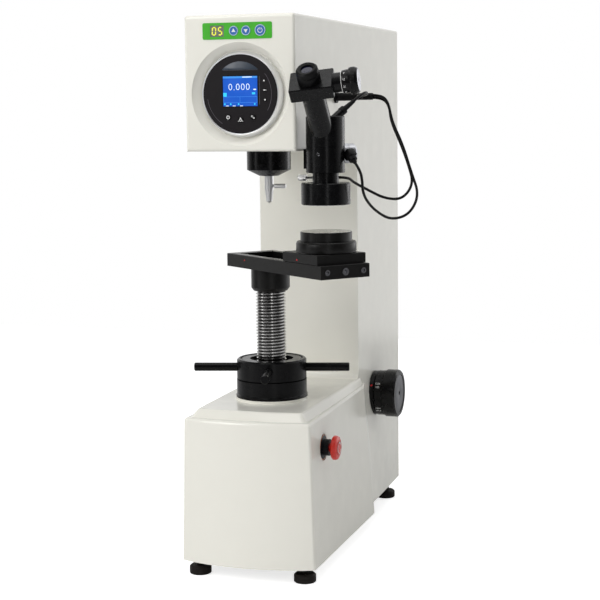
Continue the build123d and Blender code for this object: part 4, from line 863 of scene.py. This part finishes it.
# ------------------------------------------------------------------ head
@dataclass
class RoundDisplay:
    """The round digital indicator in the head: screen contents, key icons, badge and grooves."""

    screen_width: float = 44.5
    screen_height: float = 36.4
    screen_up: float = 3.4
    key_lift: float = 0.5
    groove_width: float = 0.4
    badge_radius: float = 32.2
    badge_middle: float = 6.8
    badge_foot: float = 29.0

    def screen(self) -> None:
        """Draws the frame round the screen and what it shows."""
        face, up = GAUGE_FACE, self.screen_up
        rim = (Blank("rim").plate(self.screen_width + 1.4, self.screen_height + 1.4).hollow(0.9).rise(0.25)
               .done(FASCIA_KEY, face.matrix(0, up, -0.05)))
        assemble("screen_frame", [rim], "frame")
        top = self.screen_height / 2 + up
        shown = [bar(self.screen_width - 0.4, 2.4, SCREEN_PALE, face.matrix(0, top - 1.4)),
                 bar(12.0, 1.0, SCREEN_WHITE, face.matrix(9.0, top - 1.3, 0.02)),
                 figures("0.000", 8.0, SCREEN_WHITE, face.matrix(-1.4, 8.2), 0.14, 1.12),
                 bar(3.6, 1.3, SCREEN_WHITE, face.matrix(18.6, 5.4)),
                 bar(4.4, 4.6, SCREEN_CYAN, face.matrix(-19.6, -0.6)),
                 bar(4.0, 2.4, SCREEN_CYAN, face.matrix(17.0, 0.7))]
        for level in (-3.2, -10.2):
            shown.append(bar(self.screen_width - 1.6, 0.35, SCREEN_PALE, face.matrix(0, level)))
        for across in (-21.4, -0.4, 21.4):
            shown.append(bar(0.35, 7.0, SCREEN_PALE, face.matrix(across, -6.7)))
        for across in (-20.0, -12.4, -2.2, 18.4):
            shown.append(bar(1.7, 1.9, SCREEN_CYAN, face.matrix(across, -12.0)))
        for across in (-16.8, -8.0, 1.4):
            shown.append(bar(3.6, 0.8, SCREEN_WHITE, face.matrix(across, -14.1)))
        assemble("screen_contents", shown, "frame")

    def icons(self) -> None:
        """Prints a white sign on each key."""
        def sign(key: str, parts: list[bpy.types.Object]) -> None:
            assemble(f"sign_{key}", parts, key)

        def here(u: float, v: float) -> Matrix:
            return GAUGE_FACE.matrix(u, v, self.key_lift - PRINTED / 2)

        sign("gauge_key_side_1", [spot(1.5, INK, here(30.5, 15.7), 3)])
        sign("gauge_key_side_2", [bar(0.9, 1.5, INK, here(30.2, 4.4)), bar(1.0, 1.5, INK, here(31.5, 4.4)),
                                  bar(1.0, 0.8, INK, here(32.9, 4.4))])
        sign("gauge_key_side_3", [spot(1.5, INK, here(31.6, -7.1) @ HALF_TURN, 3)])
        sign("gauge_key_round_1", [band(2.2, 0.85, INK, here(-15.9, -27.8))])
        sign("gauge_key_round_2", [band(1.7, 0.7, INK, here(0, -31.3)), spot(1.4, INK, here(0, -29.2), 3),
                                   bar(0.8, 1.1, INK, here(-2.7, -32.4)),
                                   bar(0.8, 1.1, INK, here(2.7, -32.4))])
        slant = Matrix.Rotation(radians(-40), 4, "Z")
        sign("gauge_key_round_3", [bar(3.6, 1.0, INK, here(15.9, -27.8) @ slant),
                                   spot(1.05, INK, here(14.7, -26.8)), spot(1.05, INK, here(17.1, -28.8))])

    def trim(self) -> None:
        """Adds the blank badge above the screen and the thin grooves round the keys."""
        badge = Blank("badge").disc(self.badge_radius, 128)
        bpy.ops.mesh.bisect(plane_co=(0, (self.badge_foot - self.badge_middle) * MM, 0), plane_no=(0, 1, 0),
                            clear_inner=True)
        bpy.ops.mesh.select_all(action="SELECT")
        bpy.ops.mesh.edge_face_add()
        plate = badge.rise(0.3).done(BADGE, GAUGE_FACE.matrix(0, self.badge_middle, -0.05), soften=0.12)
        foot = bar(44.0, 0.3, GROOVE, GAUGE_FACE.matrix(0, self.badge_foot - 0.4))
        assemble("blank_badge", [plate, foot], "frame")
        face, width = GAUGE_FACE.matrix(lift=-PRINTED / 2), self.groove_width
        assemble("fascia_grooves", [band(40.0, width, GROOVE, face, -30, 66),
                                    band(42.6, width, GROOVE, face, 188, 50),
                                    bar(width, 34.0, GROOVE, GAUGE_FACE.matrix(24.6, 4.2, -PRINTED / 2))],
                 "frame")

    def build(self) -> None:
        """Makes every piece of the indicator."""
        self.screen()
        self.icons()
        self.trim()


@dataclass
class KeyPanel:
    """The green key panel: two lit digits and signs on three keys."""

    window_across: float = -25.7
    window_width: float = 17.7
    window_height: float = 13.5
    digit_across: float = 3.9
    sunk: float = -0.52
    digit_width: float = 4.3
    digit_height: float = 8.8
    stroke: float = 1.25
    key_lift: float = 0.5

    def digit(self, middle: float, lit: str) -> list[bpy.types.Object]:
        """Lays out one figure of seven strokes.

        Args:
            middle: Where it stands, across the panel.
            lit: Which strokes are lit, a to g.

        Returns:
            The lit strokes.
        """
        half_w, half_h, gap = self.digit_width / 2, self.digit_height / 2, 0.25
        long, tall = self.digit_width - self.stroke - gap, half_h - self.stroke / 2 - gap
        thick = self.stroke
        strokes = {"a": (0, half_h, long, thick), "g": (0, 0, long, thick), "d": (0, -half_h, long, thick),
                   "b": (half_w, half_h / 2, thick, tall), "c": (half_w, -half_h / 2, thick, tall),
                   "e": (-half_w, -half_h / 2, thick, tall), "f": (-half_w, half_h / 2, thick, tall)}
        leant = PANEL_FACE.matrix(middle, 0, self.sunk) @ Matrix.Rotation(radians(-3), 4, "Z")
        parts = []
        for name in lit:
            across, upward, width, height = strokes[name]
            at_stroke = leant @ Matrix.Translation((across * MM, upward * MM, 0))
            parts.append(bar(width, height, DIGIT, at_stroke))
        return parts

    def build(self) -> None:
        """Makes the window, its figures and the signs on the keys."""
        pane = (Blank("pane").plate(self.window_width, self.window_height).rise(0.08)
                .done(WINDOW, PANEL_FACE.matrix(self.window_across, 0, self.sunk - 0.1)))
        assemble("smoked_pane", [pane], "frame")
        assemble("lit_figures", self.digit(self.window_across - self.digit_across, "abcdef")
                 + self.digit(self.window_across + self.digit_across, "acdfg"), "frame")
        lift = self.key_lift - PRINTED / 2
        signs = {"panel_key_up": (-4.4, 5.5), "panel_key_down": (11.3, 5.5), "panel_key_start": (29.4, 6.5)}
        for key, (across, rim) in signs.items():
            middle = PANEL_FACE.matrix(across, 0, lift)
            parts = [band(rim, 0.55, KEY_RIM, middle)]
            if key == "panel_key_start":
                parts += [band(3.2, 0.75, INK, middle, 115, 310),
                          bar(0.75, 3.0, INK, PANEL_FACE.matrix(across, 2.0, lift))]
            else:
                turned = middle if key == "panel_key_up" else middle @ HALF_TURN
                parts += [spot(2.9, INK, turned, 3)]
            assemble(f"sign_{key}", parts, key)


# ------------------------------------------------------------------ screw and stage
@dataclass
class LeadScrew:
    """The elevating screw with its real trapezoidal thread."""

    crest: float = 19.2
    depth: float = 1.9
    pitch: float = 4.0
    foot: float = 150.0
    thread_end: float = 354.0
    shank_end: float = 381.8

    def build(self) -> None:
        """Turns the thread and its core, and stands them in for the plain solid."""
        root, turns = self.crest - self.depth, int((self.thread_end - self.foot) / self.pitch)
        bpy.ops.object.select_all(action="DESELECT")
        bpy.ops.mesh.primitive_grid_add(x_subdivisions=1, y_subdivisions=4, size=MM)
        thread = Blank("thread").open()
        thread.pick(lambda _, point: point.x < 0)
        bpy.ops.mesh.delete(type="VERT")
        thread.all().move(root - 0.5, 0.5).scale(1.0, self.pitch)
        thread.pick(lambda _, point: 0.4 < point.y / self.pitch < 0.9).move(self.depth, 0)
        thread.pick(lambda _, point: 0.2 < point.y / self.pitch < 0.3).move(0, self.pitch * 0.12)
        thread.pick(lambda _, point: 0.7 < point.y / self.pitch < 0.8).move(0, self.pitch * 0.1)
        bpy.ops.object.mode_set(mode="OBJECT")
        profile = bpy.context.object
        profile.matrix_world = Matrix.Rotation(pi / 2, 4, "X")
        bpy.ops.object.transform_apply(location=True, rotation=True, scale=True)
        helix = profile.modifiers.new("helix", "SCREW")
        helix.axis = "Z"
        helix.screw_offset = self.pitch * MM
        helix.iterations = turns
        helix.steps = helix.render_steps = 40
        helix.use_merge_vertices = True
        bpy.ops.object.modifier_apply(modifier=helix.name)
        bpy.ops.object.mode_set(mode="EDIT")
        bpy.ops.mesh.select_all(action="SELECT")
        bpy.ops.mesh.remove_doubles(threshold=0.00001)
        thread = thread.done(THREAD, SCREW_AXIS.matrix(lift=self.foot))
        core = (Blank("core").disc(root - 0.05, 48).rise(self.thread_end - self.foot).inset(5.0)
                .rise(self.shank_end - self.thread_end).done(THREAD, SCREW_AXIS.matrix(lift=self.foot)))
        screw = assemble("threaded_screw", [thread, core], "stage")
        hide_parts("lead_screw")


@dataclass
class StageTrim:
    """Bright and marked parts of the sliding stage."""

    anvil_top: float = 439.1
    anvil_radius: float = 30.9
    rail_top: float = 401.4
    rail_front: float = -35.0
    slot_front: float = -25.4
    slot_middle: float = 65.0
    edge_length: float = 184.0
    edge_width: float = 1.1
    grip_radius: float = 36.7
    grip_foot: float = 415.7
    grip_height: float = 9.4
    flutes: int = 72

    def stage_place(self, along: float, aside: float, z: float) -> Vector:
        """A point given along the stage, across it and above the floor."""
        return place(0, SPINDLE_Y, z) + (STAGE_RUN * along + STAGE_SIDE * aside) * MM

    def build(self) -> None:
        """Makes the ground anvil top, the fluted grip, the red marks and a pale strip along the rail's inner
        edge, a painted highlight of its bare machined edge.
        """
        top = (Blank("top").disc(self.anvil_radius, 96).rise(0.12).done(
            GROUND, SCOPE_AXIS.matrix(lift=self.anvil_top - 0.06), soften=0.05))
        assemble("ground_anvil_top", [top], "slider")
        grip = Blank("grip").disc(self.grip_radius, self.flutes * 2)
        grip.pick(lambda number, _: number % 2 == 0).scale(0.991, 0.991).all().rise(self.grip_height)
        grip = grip.done(BLACKENED, SCOPE_AXIS.matrix(lift=self.grip_foot), soften=0.1)
        assemble("fluted_grip", [grip], "slider")
        front = Facing(self.stage_place(0, self.rail_front, 0), STAGE_RUN, UP)
        for name, size, along, z, body in (("rail_mark", 1.0, -6, 395.0, "stage"),
                                           ("slider_mark", 1.1, 119, 405.2, "slider")):
            assemble(name, [spot(size, RED_INK, front.matrix(along, z, -PRINTED / 2))], body)
        # painted highlight: a pale strip along the rail's inner edge where the bare machined edge catches the
        # light
        edge = Facing(self.stage_place(0, self.slot_front, 0), STAGE_RUN, STAGE_SIDE)
        highlight = (Blank("edge").plate(self.edge_length, self.edge_width).rise(0.08)
                .done(EDGE_HIGHLIGHT, edge.matrix(self.slot_middle, 0, self.rail_top - 0.04)))
        assemble("painted_edge_highlight", [highlight], "stage")


@dataclass
class LoadDial:
    """Figures, mark and end face of the load dial."""

    barrel: float = 32.0
    figures_along: float = 83.4
    figure_height: float = 2.7
    row: float = 2.6
    flange: float = 31.3
    mark_along: float = 74.4
    end_along: float = 107.9
    end_radius: float = 26.8
    end_width: float = 23.8
    mark_angle: float = 152.0
    step: float = 67.5
    loads: tuple[tuple[str, str], ...] = (("613", "62.5"), ("981", "100"), ("1226", "125"), ("1839", "187.5"),
                                          ("2452", "250"))

    def build(self) -> None:
        """Engraves the dial, dots the flange and fits the turned end face."""
        engraved = []
        for number, (newtons, kilograms) in enumerate(self.loads):
            angle = self.mark_angle + (number - 2) * self.step
            for row, text in ((self.row, newtons), (-self.row, kilograms)):
                turn = angle - degrees(row / self.barrel)
                here = on_barrel(DIAL_AXIS, self.barrel, self.figures_along, turn)
                engraved.append(figures(text, self.figure_height, INK, here.matrix(lift=0.06)))
        assemble("load_figures", engraved, "dial")
        dot = on_barrel(DIAL_AXIS, self.flange, self.mark_along, self.mark_angle)
        assemble("dial_mark", [spot(1.4, RED_INK, dot.matrix(lift=-0.01))], "frame")
        end = (Blank("end").disc(self.end_radius, 96).hollow(self.end_width).rise(0.5)
               .done(DIAL_FACE, DIAL_AXIS.matrix(lift=self.end_along), soften=0.2))
        assemble("dial_end_face", [end], "dial")


@dataclass
class StopSwitch:
    """Legend ring and turning arrows of the stop button."""

    face: float = 103.5
    ring_along: float = 82.3
    ring_radius: float = 15.8
    disc_radius: float = 9.0
    arrow_radius: float = 7.3
    arrow_width: float = 1.1
    arrow_sweep: float = 66.0

    def build(self) -> None:
        """Makes the ring behind the button and the arrows on it."""
        ring = (Blank("ring").disc(self.ring_radius, 64).hollow(2.4).rise(0.5)
                .done(ORANGE_RING, STOP_AXIS.matrix(lift=self.ring_along), soften=0.15))
        assemble("legend_ring", [ring], "frame")
        disc = (Blank("disc").disc(self.disc_radius, 48).rise(0.25).inset(1.0).rise(-0.15)
                .done(RED_DISC, STOP_AXIS.matrix(lift=self.face - 0.12), soften=0.08))
        assemble("button_disc", [disc], "stop")
        arrows, lift = [], self.face + 0.02
        middle = self.arrow_radius - self.arrow_width / 2
        for start in (20, 140, 260):
            arrows.append(band(self.arrow_radius, self.arrow_width, INK, STOP_AXIS.matrix(lift=lift), start,
                               self.arrow_sweep))
            tip = radians(start + self.arrow_sweep + 6)
            head = STOP_AXIS.matrix(middle * cos(tip), middle * sin(tip), lift)
            arrows.append(spot(1.7, INK, head @ Matrix.Rotation(tip, 4, "Z"), 3))
        assemble("turning_arrows", arrows, "stop")


# ------------------------------------------------------------------ microscope
@dataclass
class MicroscopeTrim:
    """Scale, knurls, lenses and lamps of the measuring microscope."""

    drum_radius: float = 15.6
    scale_radius: float = 12.95
    line_along: float = 37.5
    divisions: int = 50
    tooth: float = 0.45
    drum_end: float = 56.85
    eye_lens: float = 110.4
    objective: float = 478.6
    lamp_ring: float = 471.3
    tube_radius: float = 23.65
    tube_joint: float = 540.6

    def knurled_sleeve(self, name: str, axis: Facing, radius: float, start: float, end: float, teeth: int,
                       finish: Finish, body: str, slot: str) -> None:
        """Cuts straight teeth round a turned piece.

        Args:
            name: Name of the piece.
            axis: The axis it is turned about.
            radius: Radius over the teeth.
            start: Where it starts along the axis.
            end: Where it ends.
            teeth: How many teeth.
            finish: Its finish.
            body: The body that it rides on.
            slot: The record's material slot; not used.
        """
        blank = Blank(name).disc(radius, teeth * 2).pick(lambda number, _: number % 2 == 0)
        blank.scale(1 - self.tooth / radius, 1 - self.tooth / radius).all().rise(end - start)
        assemble(name, [blank.done(finish, axis.matrix(lift=start), soften=0.06)], body)

    def drum(self) -> None:
        """Engraves the measuring drum and caps it."""
        self.knurled_sleeve("drum_knurl", DRUM_AXIS, self.drum_radius + 0.25, 48.5, 53.6, 56, ANODISED,
                            "thimble", "black_anodised")
        marks = [band(self.scale_radius, 0.4, INK, DRUM_AXIS.matrix(lift=self.line_along), thickness=0.45)]
        for number in range(self.divisions):
            long = number % 5 == 0
            angle = number * 360 / self.divisions
            here = on_barrel(DRUM_AXIS, self.scale_radius, 38.2 if long else 37.9, angle)
            marks.append(bar(1.5 if long else 0.9, 0.16, INK, here.matrix()))
            if long:
                label = on_barrel(DRUM_AXIS, self.scale_radius + 0.5, 41.6, angle + 6)
                marks.append(figures(str(number * 2), 2.5, INK, label.matrix(lift=0.15)))
        assemble("drum_scale", marks, "thimble")
        cap = (Blank("cap").disc(13.2, 64).hollow(11.0).rise(0.35)
               .done(LAMP_SILVER_END, DRUM_AXIS.matrix(lift=self.drum_end), soften=0.1))
        assemble("drum_end_face", [cap], "thimble")

    def glass(self) -> None:
        """Sets the eyepiece lens, the objective lens and the ring of lamps."""
        lens = (Blank("lens").disc(8.4, 48).rise(0.5).inset(2.0).rise(0.35).inset(2.4).rise(0.2)
                .done(GLASS, TILTED_AXIS.matrix(lift=self.eye_lens)))
        bpy.ops.object.shade_smooth()
        assemble("eye_lens", [lens], "eyepiece")
        front = (Blank("front").disc(7.6, 48).rise(0.5).inset(2.0).rise(0.3)
                 .done(GLASS, SCOPE_AXIS.matrix(lift=self.objective)))
        assemble("objective_lens", [front], "frame")
        pane = (Blank("pane").disc(27.0, 64).hollow(9.0).rise(0.4)
                .done(GLOW, SCOPE_AXIS.matrix(lift=self.lamp_ring)))
        assemble("ring_light_window", [pane], "frame")

    def grips(self) -> None:
        """Knurls the eyepiece, the thumb screws and the lamp's nut."""
        sleeves = (("eyepiece_grip", TILTED_AXIS, 13.65, 99.0, 105.4, 48, SATIN_PLASTIC, "eyepiece",
                    "housing_black"),
                   ("ring_screw_grip", RING_SCREW_AXIS, 3.75, 26.4, 34.0, 18, KNURLED_STEEL,
                    "ring_light_clamp", "bright_steel"),
                   ("indenter_screw_grip", CLAMP_AXIS, 2.9, 15.6, 21.6, 16, BRIGHT, "indenter_clamp",
                    "bright_steel"),
                   ("lamp_grip", LAMP_AXIS, 12.05, 24.0, 28.5, 40, LAMP_SILVER, "frame", "silver_aluminium"))
        for sleeve in sleeves:
            self.knurled_sleeve(*sleeve)

    def tube(self) -> None:
        """Adds the tube's seam, its grub screw and the block that plugs into the lamp."""
        seam = band(self.tube_radius, 0.6, SEAM, SCOPE_AXIS.matrix(lift=self.tube_joint), thickness=0.5)
        assemble("tube_seam", [seam], "frame")
        front = Facing(place(SCOPE_X, SCOPE_Y - self.tube_radius, LAMP_Z), RIGHT, UP)
        grub = (Blank("grub").disc(1.9, 24).rise(0.3).inset(0.7).rise(-0.25)
                .done(OILED_SCREW, front.matrix(-1.5, 0, -0.27), soften=0.05))
        assemble("tube_grub_screw", [grub], "frame")
        block = (Blank("block").plate(11.0, 12.0).rise(9.5).inset(1.6).rise(1.5)
                 .done(SATIN_PLASTIC, LAMP_PLUG.matrix(lift=-3.0), soften=0.9))
        assemble("lamp_connector", [block], "frame")

    def build(self) -> None:
        """Makes every piece of the microscope's trim."""
        self.drum()
        self.glass()
        self.grips()
        self.tube()


def main() -> None:
    """Builds the studio, the leads and every piece of the machine."""
    logging.basicConfig(level=logging.INFO, format="%(name)s: %(message)s")
    Studio().build()
    Cables().build()
    dress_castings()
    for group in (RoundDisplay(), KeyPanel(), LeadScrew(), StageTrim(), LoadDial(), StopSwitch(),
                  MicroscopeTrim()):
        group.build()


if __name__ == "__main__":
    main()
